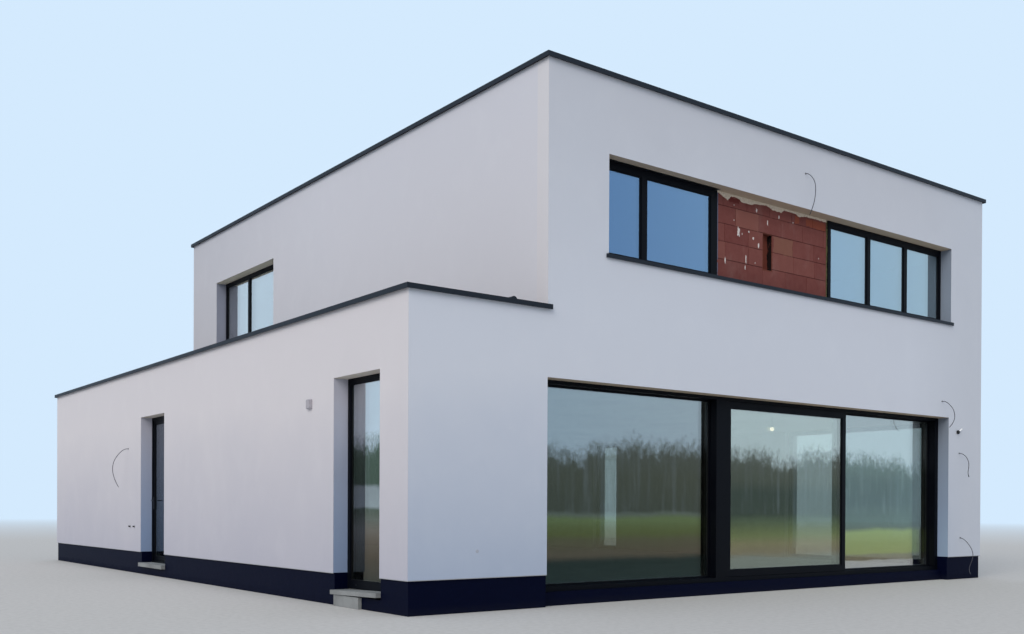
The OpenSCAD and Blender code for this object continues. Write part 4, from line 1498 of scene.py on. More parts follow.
@dataclass
class Viewpoint:
    """The camera where the picture was taken from, level and shifted upwards."""

    place: Point = (-7.9206, -9.7676, 1.1847)
    yaw: float = 0.64812
    pitch: float = -0.00488
    roll: float = 0.00431
    lens: float = 37.02
    sensor: float = 36.0
    shift: float = 0.1916
    far: float = 1000.0

    def build(self) -> None:
        """Makes the camera."""
        data = bpy.data.cameras.new("viewpoint")
        data.sensor_width = self.sensor
        data.lens = self.lens
        data.shift_y = self.shift
        data.clip_end = self.far
        camera = placed("viewpoint", data)
        camera.matrix_world = (
            Matrix.Translation(PLAN.spot(*self.place)) @ Matrix.Rotation(-self.yaw, 4, "Z")
            @ Matrix.Rotation(math.pi / 2 + self.pitch, 4, "X")
            @ Matrix.Rotation(self.roll, 4, "Z"))
        bpy.context.scene.camera = camera
        LOG.info("camera at %s", tuple(round(v, 3) for v in camera.location))


@dataclass
class Surroundings(Assembly):
    """A plain pale floor, a pale background and soft light."""

    ambient: Colour = (0.80, 0.88, 1.0, 1.0)
    ambient_strength: float = 0.60
    sun_strength: float = 1.55
    sun_colour: Point = (1.0, 0.95, 0.88)
    sun_angle: float = 42.0
    sun_from: Point = (-0.76, -0.44, 0.56)
    floor_size: float = 900.0
    floor_z: float = -0.002

    def build(self) -> None:
        """Makes the floor, the world and the light."""
        self._floor()
        self._world()
        self._light()
        bpy.context.scene.view_settings.view_transform = "Standard"

    def _square(self) -> None:
        """One large square just below the house."""
        half = self.floor_size / 2
        self.work.faces.new([self.work.verts.new((x, y, self.floor_z)) for x, y in (
            (-half, -half), (half, -half), (half, half), (-half, half))])

    def _floor(self) -> None:
        """A floor that fades into the background far away."""
        made = placed("floor", self.mesh("floor", self._square))
        made.data.materials.append(FLOOR.material())

    def _world(self) -> None:
        """Soft light from all round, behind a pale background."""
        world = bpy.data.worlds.new("surroundings")
        world.use_nodes = True
        world.node_tree.nodes.clear()
        g = Graph(world.node_tree)
        path = g.node("ShaderNodeLightPath", output="Is Camera Ray")
        mirrored = path.output("Is Glossy Ray") + path.output("Is Transmission Ray")
        light, backdrop = (
            g.node("ShaderNodeBackground", {"Color": colour, "Strength": strength})
            for colour, strength in ((self.ambient, self.ambient_strength),
                                     (FLOOR.background, 1.0)))
        mixed = g.node("ShaderNodeMixShader", {
            0: (path + mirrored).clamped(), 1: light, 2: backdrop})
        g.node("ShaderNodeOutputWorld", {"Surface": mixed})
        bpy.context.scene.world = world

    def _light(self) -> None:
        """One wide soft light from the front left."""
        data = bpy.data.lights.new("soft_light", "SUN")
        data.energy = self.sun_strength
        data.angle = math.radians(self.sun_angle)
        data.color = self.sun_colour
        made = placed("soft_light", data)
        made.rotation_mode = "QUATERNION"
        made.rotation_quaternion = Vector(self.sun_from).to_track_quat("Z", "Y")


# Cables


@dataclass
class CableRun(Assembly):
    """One loose cable that leaves the wall and hangs, with its cut end.

    Its route has points of a distance out of the wall and a height. A bare end shows three
    cores, and a dark one is wrapped. What they measure across goes by the cable's diameter.
    """

    node: str
    along: float
    route: tuple[Span, ...]
    wall: Wall = FRONT_WALL
    dark_end: bool = False
    diameter: float = 0.011
    steps: int = 5
    wrap: Span = (0.030, 0.004)
    wrap_share: float = 0.62
    core: Span = (0.004, 0.014)
    core_share: float = 0.14
    core_off: float = 0.22
    core_spread: float = 1.7

    def line(self) -> list[Vector]:
        """A curve through the route's points that doesn't reach beyond them.

        Returns:
            The finer points, in the model's frame.
        """
        points = [self.wall.spot(self.along, -out, z) for out, z in self.route]
        low, high = ([pick(point[axis] for point in points) for axis in range(3)]
                     for pick in (min, max))
        fine: list[Vector] = []
        for i in range(len(points) - 1):
            before, after = points[max(i - 1, 0)], points[min(i + 2, len(points) - 1)]
            start, end = points[i], points[i + 1]
            for t in (k / self.steps for k in range(self.steps)):
                at = 0.5 * (2 * start + (end - before) * t
                            + (2 * before - 5 * start + 4 * end - after) * t ** 2
                            + (3 * start - before - 3 * end + after) * t ** 3)
                fine.append(Vector(min(max(v, a), b) for v, a, b in zip(at, low, high)))
        return [*fine, points[-1].copy()]

    def build(self) -> None:
        line = self.line()
        data = bpy.data.curves.new(self.node, "CURVE")
        data.dimensions = "3D"
        data.bevel_depth = self.diameter / 2
        data.bevel_resolution = 4
        data.use_fill_caps = True
        spline = data.splines.new("POLY")
        spline.points.add(len(line) - 1)
        for point, place in zip(spline.points, line):
            point.co = (*place, 1.0)
        data.materials.append(CABLE_GREY.material())
        made = placed(self.node + "_jacket", data)
        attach(made, Body.HOUSE.value)
        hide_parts(self.node)
        length = sum((b - a).length for a, b in zip(line, line[1:]))
        tuple(line[0])
        self._end(line[-2], line[-1])
        LOG.info("cable %s: %.3f m", self.node, length)

    def _end(self, before: Vector, end: Vector) -> bpy.types.Object:
        """Three short cores at the cut end, or a dark wrapped end.

        Args:
            before: The line's last point but one.
            end: Its last point.

        Returns:
            The piece.
        """
        way = (end - before).normalized()
        across = way.cross(Vector((0.37, 0.21, 0.9))).normalized()
        other = way.cross(across)

        def wrap() -> None:
            """The wrap."""
            self.rod(end - way * self.wrap[0], end + way * self.wrap[1],
                     self.diameter * self.wrap_share, 24)

        def cores() -> None:
            """The cores."""
            for angle in (k * math.tau / 3 for k in range(3)):
                off = ((across * math.cos(angle) + other * math.sin(angle))
                       * self.diameter * self.core_off)
                self.rod(end + off - way * self.core[0],
                         end + off * self.core_spread + way * self.core[1],
                         self.diameter * self.core_share, 12)

        build, finish = (wrap, RUBBER) if self.dark_end else (cores, BLACK_PLASTIC)
        return self.add(self.node + "_end", build, finish, Slot.JACKET, smooth=True)


@dataclass
class LooseCables:
    """The loose cables on the front and on the left side."""

    runs: tuple[CableRun, ...] = (
        CableRun("front_cable_high", 8.540, (
            (0.003, 3.010), (0.040, 3.006), (0.076, 2.993), (0.109, 2.973), (0.139, 2.946),
            (0.166, 2.915), (0.190, 2.882), (0.209, 2.847), (0.222, 2.809), (0.229, 2.770),
            (0.230, 2.731), (0.222, 2.692), (0.207, 2.656), (0.188, 2.624), (0.167, 2.597),
            (0.145, 2.574))),
        CableRun("front_cable_middle", 9.081, (
            (0.003, 2.155), (0.038, 2.150), (0.072, 2.136), (0.104, 2.114), (0.131, 2.086),
            (0.151, 2.053), (0.166, 2.018), (0.175, 1.980), (0.177, 1.941), (0.174, 1.902),
            (0.168, 1.864), (0.164, 1.826), (0.168, 1.787), (0.180, 1.750)), dark_end=True),
        CableRun("front_cable_low", 9.128, (
            (0.003, 0.706), (0.042, 0.696), (0.080, 0.674), (0.114, 0.646), (0.145, 0.613),
            (0.173, 0.577), (0.198, 0.540), (0.217, 0.501), (0.230, 0.460), (0.234, 0.417),
            (0.230, 0.375), (0.219, 0.334), (0.204, 0.294), (0.188, 0.254), (0.175, 0.214),
            (0.170, 0.173), (0.177, 0.132), (0.194, 0.094))),
        CableRun("upper_cable", 4.864, (
            (0.003, 6.119), (0.038, 6.109), (0.070, 6.088), (0.100, 6.060), (0.126, 6.028),
            (0.148, 5.992), (0.164, 5.953), (0.174, 5.911), (0.178, 5.868), (0.178, 5.825),
            (0.175, 5.782), (0.169, 5.739), (0.160, 5.697), (0.149, 5.656), (0.134, 5.616),
            (0.117, 5.577), (0.099, 5.540), (0.081, 5.506))),
        CableRun("side_cable", 9.657, (
            (0.003, 2.229), (0.043, 2.224), (0.083, 2.209), (0.119, 2.184), (0.151, 2.153),
            (0.180, 2.119), (0.207, 2.083), (0.231, 2.045), (0.251, 2.005), (0.266, 1.963),
            (0.275, 1.920), (0.279, 1.876), (0.279, 1.832), (0.274, 1.788), (0.265, 1.745),
            (0.252, 1.702), (0.237, 1.660), (0.219, 1.618), (0.199, 1.577), (0.177, 1.538)),
            wall=LEFT_WALL),
    )

    def build(self) -> None:
        """Makes all cables and dresses their sleeves."""
        for run in self.runs:
            run.build()
        dress(BLACK_PLASTIC, "cable_sleeves")


# Assemblies


@dataclass
class WallShell(Assembly):
    """Render, block leaf and plinth of all sides, with the rail that starts the render."""

    rail: Span = (0.383, 0.3915)
    rail_depth: Span = (-0.002, 0.004)
    rails: tuple[tuple[Wall, tuple[Span, ...]], ...] = (
        (FRONT_WALL, ((WING_X, 0.0), (8.754, MAIN_W))),
        (LEFT_WALL, ((0.0, 0.608), (1.720, 7.752), (8.957, HOUSE_D))),
        (RIGHT_WALL, ((0.0, 0.900), (3.930, 8.935), (9.775, HOUSE_D))),
        (BACK_WALL, ((WING_X, 2.590), (5.250, MAIN_W))))

    def build(self) -> None:
        """Dresses the walls and adds the rail."""
        dress(FRONT_RENDER, "front_render_beside", "front_render_over")
        dress(LEFT_RENDER, "left_render_beside", "left_render_over")
        dress(LEFT_UPPER_RENDER, "left_render_upper")
        dress(RIGHT_RENDER, "right_render")
        dress(BACK_RENDER, "back_render_ground")
        dress(BACK_UPPER_RENDER, "back_render_upper")
        dress(ROOM_PLASTER, *("ground_blocks_" + side.name.lower() for side in Side))
        dress(ROOM_PLASTER, "upper_blocks_left", "upper_blocks_right", "upper_blocks_back")
        dress(FRONT_LEAF, "upper_blocks_front")
        dress(PLINTH_COAT, "plinth")
        self.add("render_base_rail", self._rail, PALE_RAIL, Slot.STEEL)

    def _rail(self) -> None:
        """A thin strip under the render, beside the openings."""
        for wall, stretches in self.rails:
            for stretch in stretches:
                self.wall_box(wall, stretch, self.rail_depth, self.rail)


@dataclass
class BarePatch(Assembly):
    """The stretch between the upper front windows without insulation and render."""

    across: Span = (3.178, 5.636)
    height: Span = (SILL_Z, UPPER_LINTEL)
    chase: Span = (4.162, 4.361)
    chase_height: Span = (4.654, 5.169)
    face: float = 0.2045
    leaf: float = 0.215
    pitch: Span = (0.500, 0.250)
    joint: float = 0.006
    rounding: float = 0.002
    loose: float = 0.0012
    in_course: int = 7
    first_course: float = 4.180
    starts: tuple[float, ...] = (2.856, 3.168, 2.856, 2.843, 3.070, 2.810)
    edge: tuple[Span, ...] = (
        (3.178, 5.584), (3.217, 5.582), (3.393, 5.516), (3.476, 5.580), (3.637, 5.577),
        (3.694, 5.541), (3.886, 5.534), (4.041, 5.570), (4.258, 5.582), (4.358, 5.545),
        (4.561, 5.538), (4.622, 5.582), (4.891, 5.582), (4.975, 5.545), (5.144, 5.580),
        (5.381, 5.578), (5.622, 5.574), (5.636, 5.574))
    edge_step: float = 0.022
    edge_thick: float = 0.004
    edge_bevel: Span = (0.002, 0.006)
    ragged: float = 0.006
    splashes: tuple[tuple[float, float, float, float], ...] = (
        (3.631, 5.108, 0.055, 0.135), (3.850, 5.144, 0.030, 0.030),
        (3.948, 5.064, 0.035, 0.040), (4.065, 4.980, 0.030, 0.075),
        (3.791, 4.744, 0.020, 0.130), (3.353, 4.664, 0.020, 0.105),
        (3.775, 4.623, 0.018, 0.060), (4.260, 5.340, 0.022, 0.080),
        (4.017, 5.478, 0.030, 0.055), (4.515, 5.464, 0.025, 0.050),
        (3.707, 5.089, 0.014, 0.024), (5.452, 4.996, 0.016, 0.020),
        (4.840, 5.436, 0.020, 0.016), (3.989, 4.718, 0.014, 0.018),
        (3.534, 5.470, 0.020, 0.016), (3.535, 5.257, 0.014, 0.020))
    splash_out: float = 0.0045
    waves: int = 3
    wave_share: float = 0.11
    bead_x: float = 5.650
    bead_radius: float = 0.0145
    bead_wander: float = 0.030
    bead_out: float = 0.006
    bead_end: float = 0.012
    gap: Span = (5.664, 5.678)
    joint_out: float = 0.0015
    lip: float = 0.002
    tape: Span = (3.180, 3.202)
    tape_steps: int = 40
    tape_out: float = 0.0012
    creases: Span = (0.0015, 0.0005)

    def build(self) -> None:
        """Makes the blocks and what sticks to them."""
        new_piece("bare_blocks", self._blocks(), BARE_CLAY, Slot.CLAY)
        self.add("plaster_edge", self._edge, CREAM_PLASTER, Slot.RENDER)
        self.add("plaster_splashes", self._splashes, SPLASHED_PLASTER, Slot.RENDER,
                 smooth=True)
        new_piece("foam_bead", self._bead(), FOAM, Slot.GREY)
        self.add("joint_strip", self._joint, RUBBER, Slot.METAL)
        self.add("sealing_tape", self._tape, TAPE, Slot.GREY)

    def _block(self) -> None:
        """One block with slightly rounded edges, standing on its lower left corner."""
        width, course = self.pitch
        self.box(Vector((0.0, self.face - self.leaf, 0.0)),
                 Vector((width - self.joint, SEATED, course - self.joint)))
        bmesh.ops.bevel(self.work, geom=self.work.edges[:], offset=self.rounding, segments=1,
                        affect="EDGES")

    def _blocks(self) -> Mesh:
        """The courses, cut to the patch and round the chase.

        Returns:
            The blocks as one mesh.
        """
        width, course = self.pitch
        rows = [Row(FRONT_WALL.spot(start, self.leaf, self.first_course + number * course),
                    Vector((width, 0.0, 0.0)), self.in_course)
                for number, start in enumerate(self.starts)]
        whole = rows_mesh("block_courses", BARE_CLAY, self.mesh("block", self._block), rows,
                          self.loose)
        (left, right), (low, high) = self.across, self.height
        (a, b), (c, d) = self.chase, self.chase_height
        parts = ((left, a, low, high), (b, right, low, high), (a, b, low, c),
                 (a, b, d, high))
        made = joined("bare_blocks", (cut(whole, PLAN.spot(x0, 0.0, z0), PLAN.spot(x1, 0.0, z1))
                                      for x0, x1, z0, z1 in parts))
        bpy.data.meshes.remove(whole)
        return made

    def _edge(self) -> None:
        """The ragged lower edge of the plaster that hangs from the soffit."""
        chance = random.Random(11)
        line: list[Span] = []
        for (x0, z0), (x1, z1) in zip(self.edge, self.edge[1:]):
            steps = max(2, round((x1 - x0) / self.edge_step))
            line += [(x0 + (x1 - x0) * k / steps,
                      z0 + (z1 - z0) * k / steps + chance.uniform(-self.ragged, self.ragged))
                     for k in range(steps)]
        line.append(self.edge[-1])
        bevel, rise = self.edge_bevel
        top = self.height[1] + 0.0002
        back = self.face + SUNK
        front = self.face - self.edge_thick
        self.loft(([FRONT_WALL.spot(x, y, z) for y, z in (
            (front + bevel, foot), (front, foot + rise), (front, top), (back, top),
            (back, foot))] for x, foot in line))

    def _splashes(self) -> None:
        """Uneven lumps of plaster on the blocks."""
        chance = random.Random(5)
        for x, z, width, height in self.splashes:
            centre = FRONT_WALL.spot(x, self.face, z)
            verts = self.lump(centre, (width / 2, self.splash_out, height / 2))
            waves = [(chance.uniform(2.0, 5.0), chance.uniform(0.0, math.tau))
                     for _ in range(self.waves)]
            for vert in verts:
                away = vert.co - centre
                angle = math.atan2(away.z / height, away.x / width)
                swell = sum(math.sin(f * angle + p) for f, p in waves) * self.wave_share
                vert.co = centre + away * (1.0 + swell + chance.uniform(-0.05, 0.05))

    def _bead(self) -> Mesh:
        """The foam in the joint before the right window.

        Returns:
            The foam's mesh.
        """
        low, high = self.height
        start, end = (tuple(FRONT_WALL.spot(self.bead_x, self.leaf - self.bead_out, z))
                      for z in (low + self.bead_end, high - self.bead_end))
        return BEAD.run("foam_bead", FOAM, {
            "Start": start, "End": end, "Radius": self.bead_radius,
            "Wander": self.bead_wander, "Seed": 3.0})

    def _joint(self) -> None:
        """A sunk dark seal beside the frame, with a round lip."""
        depth = (self.leaf - self.joint_out, self.leaf + SUNK)
        self.wall_box(FRONT_WALL, self.gap, depth, self.height)
        start, end = ((self.gap[1] - self.lip, self.leaf - self.lip, z) for z in self.height)
        self.wall_rod(FRONT_WALL, start, end, self.lip, 10)

    def _tape(self) -> None:
        """A strip of tape beside the left frame, a little creased."""
        chance = random.Random(3)
        (left, right), (low, high) = self.tape, self.height
        wander, crease = self.creases
        back = self.face + SUNK
        outlines = []
        for k in range(self.tape_steps + 1):
            z = low + (high - low) * k / self.tape_steps
            edge = right + chance.uniform(-wander, wander)
            out = self.face - self.tape_out + chance.uniform(-crease, crease)
            outlines.append([FRONT_WALL.spot(x, y, z) for x, y in (
                (left, back), (left, out), (edge, out), (edge, back))])
        self.loft(outlines)


@dataclass
class Slabs(Assembly):
    """Floors, roof slab and steps, and the bare bulb under the ceiling."""

    bulb: Point = (6.380, 1.820, 2.545)
    bulb_radius: float = 0.036
    taper: float = 0.35
    longer: float = 0.006
    lead: float = 0.004
    holder: Point = (0.045, 0.019, 0.014)

    def build(self) -> None:
        """Dresses the slabs and steps and adds the bulb."""
        dress(SCREED, "ground_slab")
        dress(ROOM_PLASTER, "first_floor_slab", "roof_slab")
        dress(STEP_CONCRETE, "door_steps")
        self.add("bulb_holder", self._holder, BLACK_PLASTIC, Slot.GREY)
        self.add("bulb", self._bulb, BULB, Slot.GREY, smooth=True)

    def _holder(self) -> None:
        """A short lead and a holder."""
        x, y, z = self.bulb
        tall, radius, top_radius = self.holder
        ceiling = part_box("first_floor_slab")[0][2]
        neck = z + self.bulb_radius * 0.8
        self.rod(PLAN.spot(x, y, neck + 0.04), PLAN.spot(x, y, ceiling + ROOTED),
                 self.lead, 12)
        self.rod(PLAN.spot(x, y, neck), PLAN.spot(x, y, neck + tall), radius, 20,
                 top_radius)

    def _bulb(self) -> None:
        """A pear-shaped bulb."""
        centre = PLAN.spot(*self.bulb)
        made = bmesh.ops.create_uvsphere(self.work, u_segments=24, v_segments=16,
                                         radius=self.bulb_radius,
                                         matrix=Matrix.Translation(centre))
        for vert in made["verts"]:
            rise = (vert.co.z - centre.z) / self.bulb_radius
            if rise > 0:
                for axis in (0, 1):
                    off = vert.co[axis] - centre[axis]
                    vert.co[axis] = centre[axis] + off * (1 - self.taper * rise)
                vert.co.z += rise * self.longer


@dataclass
class Roofs(Assembly):
    """Membranes, parapets and caps, with laps, clamping bars, screws and cap straps."""

    main: tuple[Span, Span] = ((0.390, 9.390), (0.390, 11.270))
    main_z: float = 6.050
    main_bar: float = 6.490
    wing: tuple[Span, Span] = ((-1.550, 9.390), (0.390, 14.250))
    wing_z: float = 3.300
    wing_bar: float = 3.500
    upturn_bar: float = 3.450
    bar: Span = (0.003, 0.035)
    bar_length: float = 2.0
    bar_gap: float = 0.006
    bar_end: float = 0.004
    screw: Span = (0.007, 0.004)
    washer: Span = (1.35, 0.3)
    dome: float = 0.86
    screw_gap: float = 0.20
    screw_end: float = 0.05
    lap: Span = (0.0016, 0.080)
    lap_under: float = 0.001
    lap_over_bar: float = 0.02
    sheet: float = 1.45
    last_sheet: float = 0.3
    wing_lap: float = 0.78
    back_lap: float = 1.30
    strap: float = 0.110
    strap_t: float = 0.0015
    strap_fold: float = 0.08
    cap: Point = (0.045, 0.415, 0.012)
    main_cap: Span = (6.620, 6.560)
    wing_cap: Span = (3.615, 3.555)
    straps: tuple[tuple[Wall, bool, tuple[float, ...]], ...] = (
        (FRONT_WALL, True, (3.260, 6.520)),
        (LEFT_UPPER_WALL, True, (2.950, 5.850, 8.750)),
        (RIGHT_WALL, False, (2.950, 5.850, 8.750)),
        (BACK_UPPER_WALL, False, (3.260, 6.520)),
        (LEFT_WALL, True, (3.050, 6.050, 9.050, 12.050)),
        (BACK_WALL, False, (1.000, 4.000, 7.000)))

    def build(self) -> None:
        """Dresses the roofs and adds what lies on them."""
        dress(ROOF_SKIN, "roof_covering", "main_parapet", "wing_parapet")
        dress(CAP_COAT, "main_cap", "wing_cap", "window_sills")
        self.add("membrane_laps", self._laps, LAP_SKIN, Slot.MEMBRANE)
        self.add("clamping_bars", self._bars, BAR_METAL, Slot.STEEL)
        new_piece("bar_screws", joined("bar_screws", map(self._screws, Side)), BAR_METAL,
                  Slot.STEEL)
        self.add("cap_straps", self._straps, CAP_COAT, Slot.METAL)

    def _edges(self) -> list[tuple[Wall, Span, float]]:
        """The faces that carry a bar.

        Returns:
            Each face, its stretch and the bar's height.
        """
        (x0, x1), (y0, y1) = self.main
        (u0, u1), (v0, v1) = self.wing
        return [
            (Wall(Side.BACK, y0), (x0, x1), self.main_bar),
            (Wall(Side.FRONT, y1), (x0, x1), self.main_bar),
            (Wall(Side.RIGHT, x0), (y0, y1), self.main_bar),
            (Wall(Side.LEFT, x1), (y0, y1), self.main_bar),
            (Wall(Side.BACK, v0), (u0, 0.0), self.wing_bar),
            (Wall(Side.RIGHT, u0), (v0, v1), self.wing_bar),
            (Wall(Side.FRONT, v1), (u0, u1), self.wing_bar),
            (Wall(Side.LEFT, u1), (MAIN_D, v1), self.wing_bar),
            (Wall(Side.LEFT, 0.0), (v0, MAIN_D), self.upturn_bar),
            (Wall(Side.BACK, MAIN_D), (0.0, u1), self.upturn_bar)]

    def _bars(self) -> None:
        """Flat bars that hold the membrane's upper edge."""
        thick, tall = self.bar
        for wall, (start, end), z in self._edges():
            parts = max(1, round((end - start) / self.bar_length))
            first, length = start + self.bar_end, end - start - 2 * self.bar_end
            for k in range(parts):
                ends = (first + length * k / parts,
                        first + length * (k + 1) / parts - self.bar_gap)
                self.wall_box(wall, ends, (-thick, SEATED), (z, z + tall))

    def _screws(self, side: Side) -> Mesh:
        """Rows of domed screws on washers, along the bars that face one way.

        Args:
            side: The way that they face.

        Returns:
            The screws as one mesh.
        """
        (radius, height), (wide, thick) = self.screw, self.washer
        out = Vector((0.0, 0.0, 0.0))
        out[side.axis] = -side.inward

        def build() -> None:
            """A washer and a head on it."""
            self.rod(out * -SUNK, out * height * thick, radius * wide, 12)
            self.rod(out * height * thick, out * height, radius, 6, radius * self.dome)

        rows = [along_wall(wall, (start + self.screw_end, end - self.screw_end), -self.bar[0],
                           z + self.bar[1] / 2, self.screw_gap)
                for wall, (start, end), z in self._edges() if wall.side is side]
        return rows_mesh("bar_screws", BAR_METAL, self.mesh("screw_head", build), rows)

    def _laps(self) -> None:
        """Welded laps between the sheets, and the strips turned up the walls."""
        thick, wide = self.lap
        (x0, x1), (y0, y1) = self.main
        (u0, u1), (v0, v1) = self.wing

        def strip(across: Span, along: Span, z: float) -> None:
            """One flat strip on a roof at a height."""
            heights = (z - self.lap_under, z + thick)
            self.box(*(PLAN.spot(*place) for place in zip(across, along, heights)))

        y = y0 + self.sheet
        while y < y1 - self.last_sheet:
            strip((x0, x1), (y, y + wide), self.main_z)
            for wall in (Wall(Side.RIGHT, x0), Wall(Side.LEFT, x1)):
                self.wall_box(wall, (y, y + wide), (-thick, SEATED),
                              (self.main_z, self.main_bar))
            y += self.sheet
        left, back = u0 + self.wing_lap, v1 - self.back_lap
        strip((left, left + wide), (v0, v1), self.wing_z)
        strip((u0 + self.sheet, u1), (back, back + wide), self.wing_z)
        for wall, stretch, z in self._edges()[-2:]:
            self.wall_box(wall, stretch, (-thick, SEATED),
                          (self.wing_z, z + self.lap_over_bar))

    def _outlines(self, top: float, low: float, proud: bool) -> list[list[Span]]:
        """The cross-sections of a strap: its cover, its inner leg and its outer one.

        Args:
            top: The cap's height.
            low: The height of its legs' ends.
            proud: Whether the outer leg shows.

        Returns:
            Their points of a depth and a height.
        """
        out, inner, fall = self.cap
        thick = self.strap_t
        near = -out + self.strap_fold
        back_z = top - fall
        near_z = top - fall * self.strap_fold / (inner + out)
        cover = [(-out, top - 0.0001), (near, near_z + thick), (inner, back_z + thick),
                 (inner, back_z - 0.001), (-out, top - 0.002)]
        inside = [(inner - SEATED, back_z + thick), (inner + thick, back_z + thick),
                  (inner + thick, low + 0.003), (inner - SEATED, low + 0.003)]
        outside = [(-out - thick, low + 0.002), (-out - thick, top - 0.001),
                   (-out + SEATED, top - 0.0002), (-out + SEATED, low + 0.002)]
        return [cover, inside, outside] if proud else [cover, inside]

    def _straps(self) -> None:
        """Thin covers over the joints of the caps."""
        for wall, proud, places in self.straps:
            cap = self.wing_cap if wall in (LEFT_WALL, BACK_WALL) else self.main_cap
            outlines = self._outlines(*cap, proud)
            way = wall.spot(self.strap, 0.0, 0.0) - wall.spot(0.0, 0.0, 0.0)
            for start in (place - self.strap / 2 for place in places):
                for outline in outlines:
                    self.prism([wall.spot(start, deep, z) for deep, z in outline], way)


@dataclass
class Joinery(Assembly):
    """Frames, leaves and glass of all openings, with their seals, spacers and covers."""

    seal: Span = (0.004, 0.006)
    seal_over: float = 0.001
    seal_back: float = 0.0003
    spacer: Span = (0.001, 0.009)
    spacer_in: float = 0.003
    glass_t: float = 0.028
    cover: Point = (0.036, 0.009, 0.004)
    cover_gap: float = 0.62
    cover_end: float = 0.22
    cover_share: float = 0.45
    strip: Point = (0.135, 0.0060, 0.0025)
    strip_lip: Span = (0.137, 0.139)
    strip_end: float = 0.004
    handle: Point = (3.453, 1.060, 1.200)
    plate: Point = (0.016, 0.007, 0.020)
    grip: Span = (0.040, 0.010)
    post: Span = (0.015, 0.007)
    leaf_back: float = 0.273

    def build(self) -> None:
        """Dresses frames and glass and adds the small parts."""
        dress(DARK_COAT, "front_glazing_frame", "sliding_leaf", "side_door_frame",
              "side_door_leaf", "left_side_frames", "upper_front_frames",
              "unseen_side_frames")
        dress(UPPER_GLASS, "upper_front_glass")
        dress(FIXED_GLASS, "front_fixed_glass")
        dress(SLIDER_GLASS, "sliding_leaf_glass")
        dress(DOOR_GLASS, "side_door_glass")
        dress(SIDE_GLASS, "left_side_glass")
        dress(CLEAR_GLASS, "unseen_side_glass")
        dress(BLACK_METAL, "side_door_plates", "side_door_lever")
        for name, windows in (("upper_front", FRONT_WINDOWS), ("left_side", SIDE_WINDOWS),
                              ("unseen_side", OTHER_WINDOWS)):
            self._trim(name, [pane for window in windows for pane in window.panes()])
        self._trim("front_fixed", FIXED_PANES)
        self._trim("sliding_leaf", (LEAF_PANE,))
        self._trim("side_door", (DOOR_PANE,))
        new_piece("drain_covers", joined("drain_covers", map(self._covers, Side)),
                  BLACK_METAL, Slot.METAL)
        self.add("soffit_strip", self._soffit, BLACK_METAL, Slot.METAL)
        self.add("leaf_handle", self._handle, BLACK_METAL, Slot.METAL, Body.SLIDING_LEAF)

    def _trim(self, name: str, panes: Sequence[Pane]) -> None:
        """Seals before the glass and spacers in it, for panes on one body.

        Args:
            name: The name that both pieces start with.
            panes: The panes.
        """
        over, out = self.seal
        sunk = self.spacer_in

        def seals() -> None:
            """The seals, seen outside."""
            for pane in panes:
                depth = (pane.glass - out, pane.glass + self.seal_back)
                self.ring(pane, (-self.seal_over, over), depth)

        def spacers() -> None:
            """The spacers between the two sheets of each pane."""
            for pane in panes:
                depth = (pane.glass + sunk, pane.glass + self.glass_t - sunk)
                self.ring(pane, self.spacer, depth)

        self.add(name + "_seals", seals, RUBBER, Slot.METAL, panes[0].body)
        self.add(name + "_spacers", spacers, SPACER, Slot.STEEL, panes[0].body)

    def _covers(self, side: Side) -> Mesh:
        """Small drain covers along the bottom rails of the windows of one side.

        Args:
            side: The side.

        Returns:
            The covers as one mesh.
        """
        wide, tall, out = self.cover
        wall = Wall(side, 0.0)
        origin = wall.spot(0.0, 0.0, 0.0)

        def build() -> None:
            """A small hood, drawn along the rail and sloping to its top."""
            outline = (
                (SEATED, -tall / 2), (-out, -tall / 2), (-out, 0.0), (SEATED, tall / 2))
            self.loft([wall.spot(along, depth, z) - origin for depth, z in outline]
                      for along in (-wide / 2, wide / 2))

        rows = [along_wall(w.wall, (w.start + self.cover_end, w.end - self.cover_end), REVEAL,
                           w.bottom + w.foot * self.cover_share, self.cover_gap)
                for w in (*FRONT_WINDOWS, *SIDE_WINDOWS, *OTHER_WINDOWS) if w.wall.side is side]
        return rows_mesh("drain_covers", BLACK_METAL, self.mesh("cover", build), rows)

    def _soffit(self) -> None:
        """A folded dark strip under the soffit over the left window."""
        front, drop, thin = self.strip
        top, thin_z = UPPER_LINTEL + 0.0002, UPPER_LINTEL - thin
        fold, lip = self.strip_lip
        outline = [(front, top), (front, UPPER_LINTEL - drop), (fold, UPPER_LINTEL - drop),
                   (lip, thin_z), (REVEAL, thin_z), (REVEAL, top)]
        start, length = LEFT_WINDOW.start, LEFT_WINDOW.end - LEFT_WINDOW.start
        self.prism([FRONT_WALL.spot(start + self.strip_end, d, z) for d, z in outline],
                   Vector((length - 2 * self.strip_end, 0.0, 0.0)))

    def _handle(self) -> None:
        """The inner grip of the sliding leaf on its plate."""
        x, low, high = self.handle
        half, thick, beyond = self.plate
        (away, radius), (inset, post) = self.grip, self.post
        back = self.leaf_back
        self.wall_box(FRONT_WALL, (x - half, x + half), (back - SUNK, back + thick),
                      (low - beyond, high + beyond))
        for z in (low + inset, high - inset):
            self.wall_rod(FRONT_WALL, (x, back + 0.006, z), (x, back + away, z), post, 16)
        self.wall_rod(FRONT_WALL, (x, back + away, low), (x, back + away, high), radius)


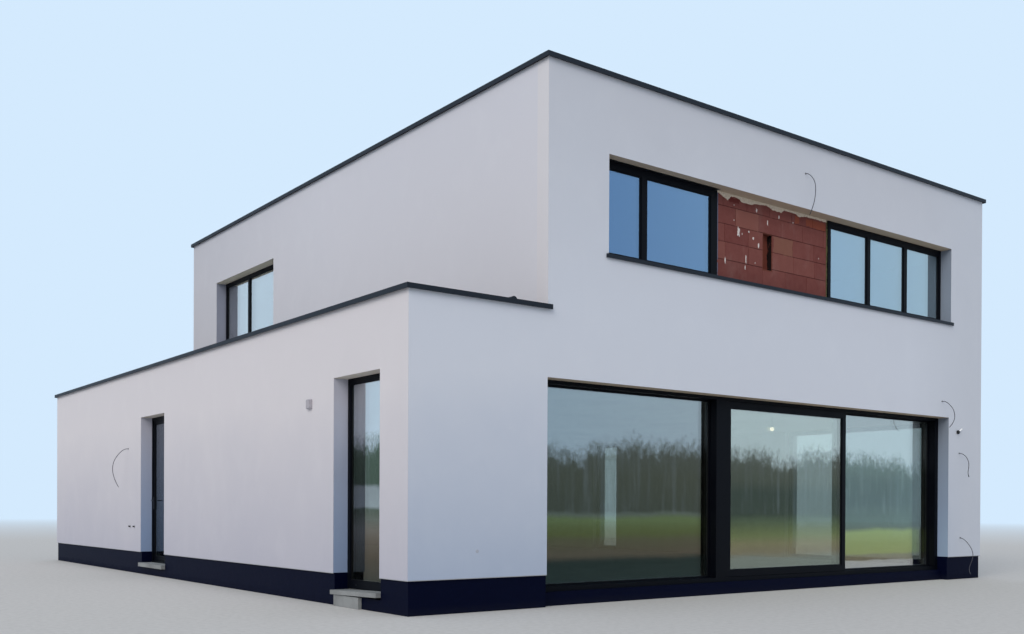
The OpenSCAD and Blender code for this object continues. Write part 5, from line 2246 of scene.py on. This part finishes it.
@dataclass
class WallFittings(Assembly):
    """The small box, the sensor, two capped stubs and a filled hole."""

    lid_screw: Point = (0.016, 0.0045, 0.0012)
    stubs: Span = (9.290, 9.530)
    stub_z: float = 0.827
    stub: Span = (0.014, 0.036)
    stub_neck: Span = (0.8, 0.6)
    stub_cap: Span = (0.9, 0.5)
    stub_plate: Point = (0.004, 0.030, 0.025)
    patch: Span = (-1.017, 0.692)
    patch_size: Point = (0.022, 0.003, 0.020)

    def build(self) -> None:
        """Dresses the fittings and adds screws and fillings."""
        dress(GREY_PLASTIC, "wall_box")
        dress(SENSOR, "wall_sensor")
        self.add("box_screws", self._box_screws, BAR_METAL, Slot.STEEL)
        self.add("stub_plates", self._stub_plates, PALE_RAIL, Slot.GREY)
        self.add("wall_stubs", self._stubs, RUBBER, Slot.GREY)
        self.add("filled_hole", self._filling, FILLER, Slot.RENDER, smooth=True)

    def _box_screws(self) -> None:
        """Four small screws in the corners of the box's lid."""
        low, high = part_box("wall_box")
        inset, radius, out = self.lid_screw
        for y in (low[1] + inset, high[1] - inset):
            for z in (low[2] + inset, high[2] - inset):
                self.rod(Vector((low[0] + ROOTED, y, z)), Vector((low[0] - out, y, z)),
                         radius, 14)

    def _pegs(self, start: float, end: float, *shape: float) -> None:
        """Adds a rod at each stub between two depths, with a radius, sides and end radius."""
        for y in self.stubs:
            self.wall_rod(LEFT_WALL, (y, start, self.stub_z), (y, end, self.stub_z), *shape)

    def _stub_plates(self) -> None:
        """A round plate round each stub."""
        thick, radius, front_radius = self.stub_plate
        self._pegs(ROOTED, -thick, radius, 32, front_radius)

    def _stubs(self) -> None:
        """Two short stubs with a hexagonal cap each."""
        (radius, length), (narrower, neck) = self.stub, self.stub_neck
        end_share, start_share = self.stub_cap
        self._pegs(ROOTED, -length * neck, radius * narrower, 20)
        self._pegs(-length * start_share, -length, radius, 6, radius * end_share)

    def _filling(self) -> None:
        """A low round lump of filler in the front wall."""
        x, z = self.patch
        self.lump(FRONT_WALL.spot(x, 0.0, z), self.patch_size)


def main() -> None:
    """Builds the scene in order."""
    Viewpoint().build()
    LooseCables().build()
    Surroundings().build()
    for part in (WallShell(), BarePatch(), Slabs(), Roofs(), Joinery(), WallFittings()):
        part.build()
        LOG.info("built %s", type(part).__name__)
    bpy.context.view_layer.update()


if __name__ == "__main__":
    main()
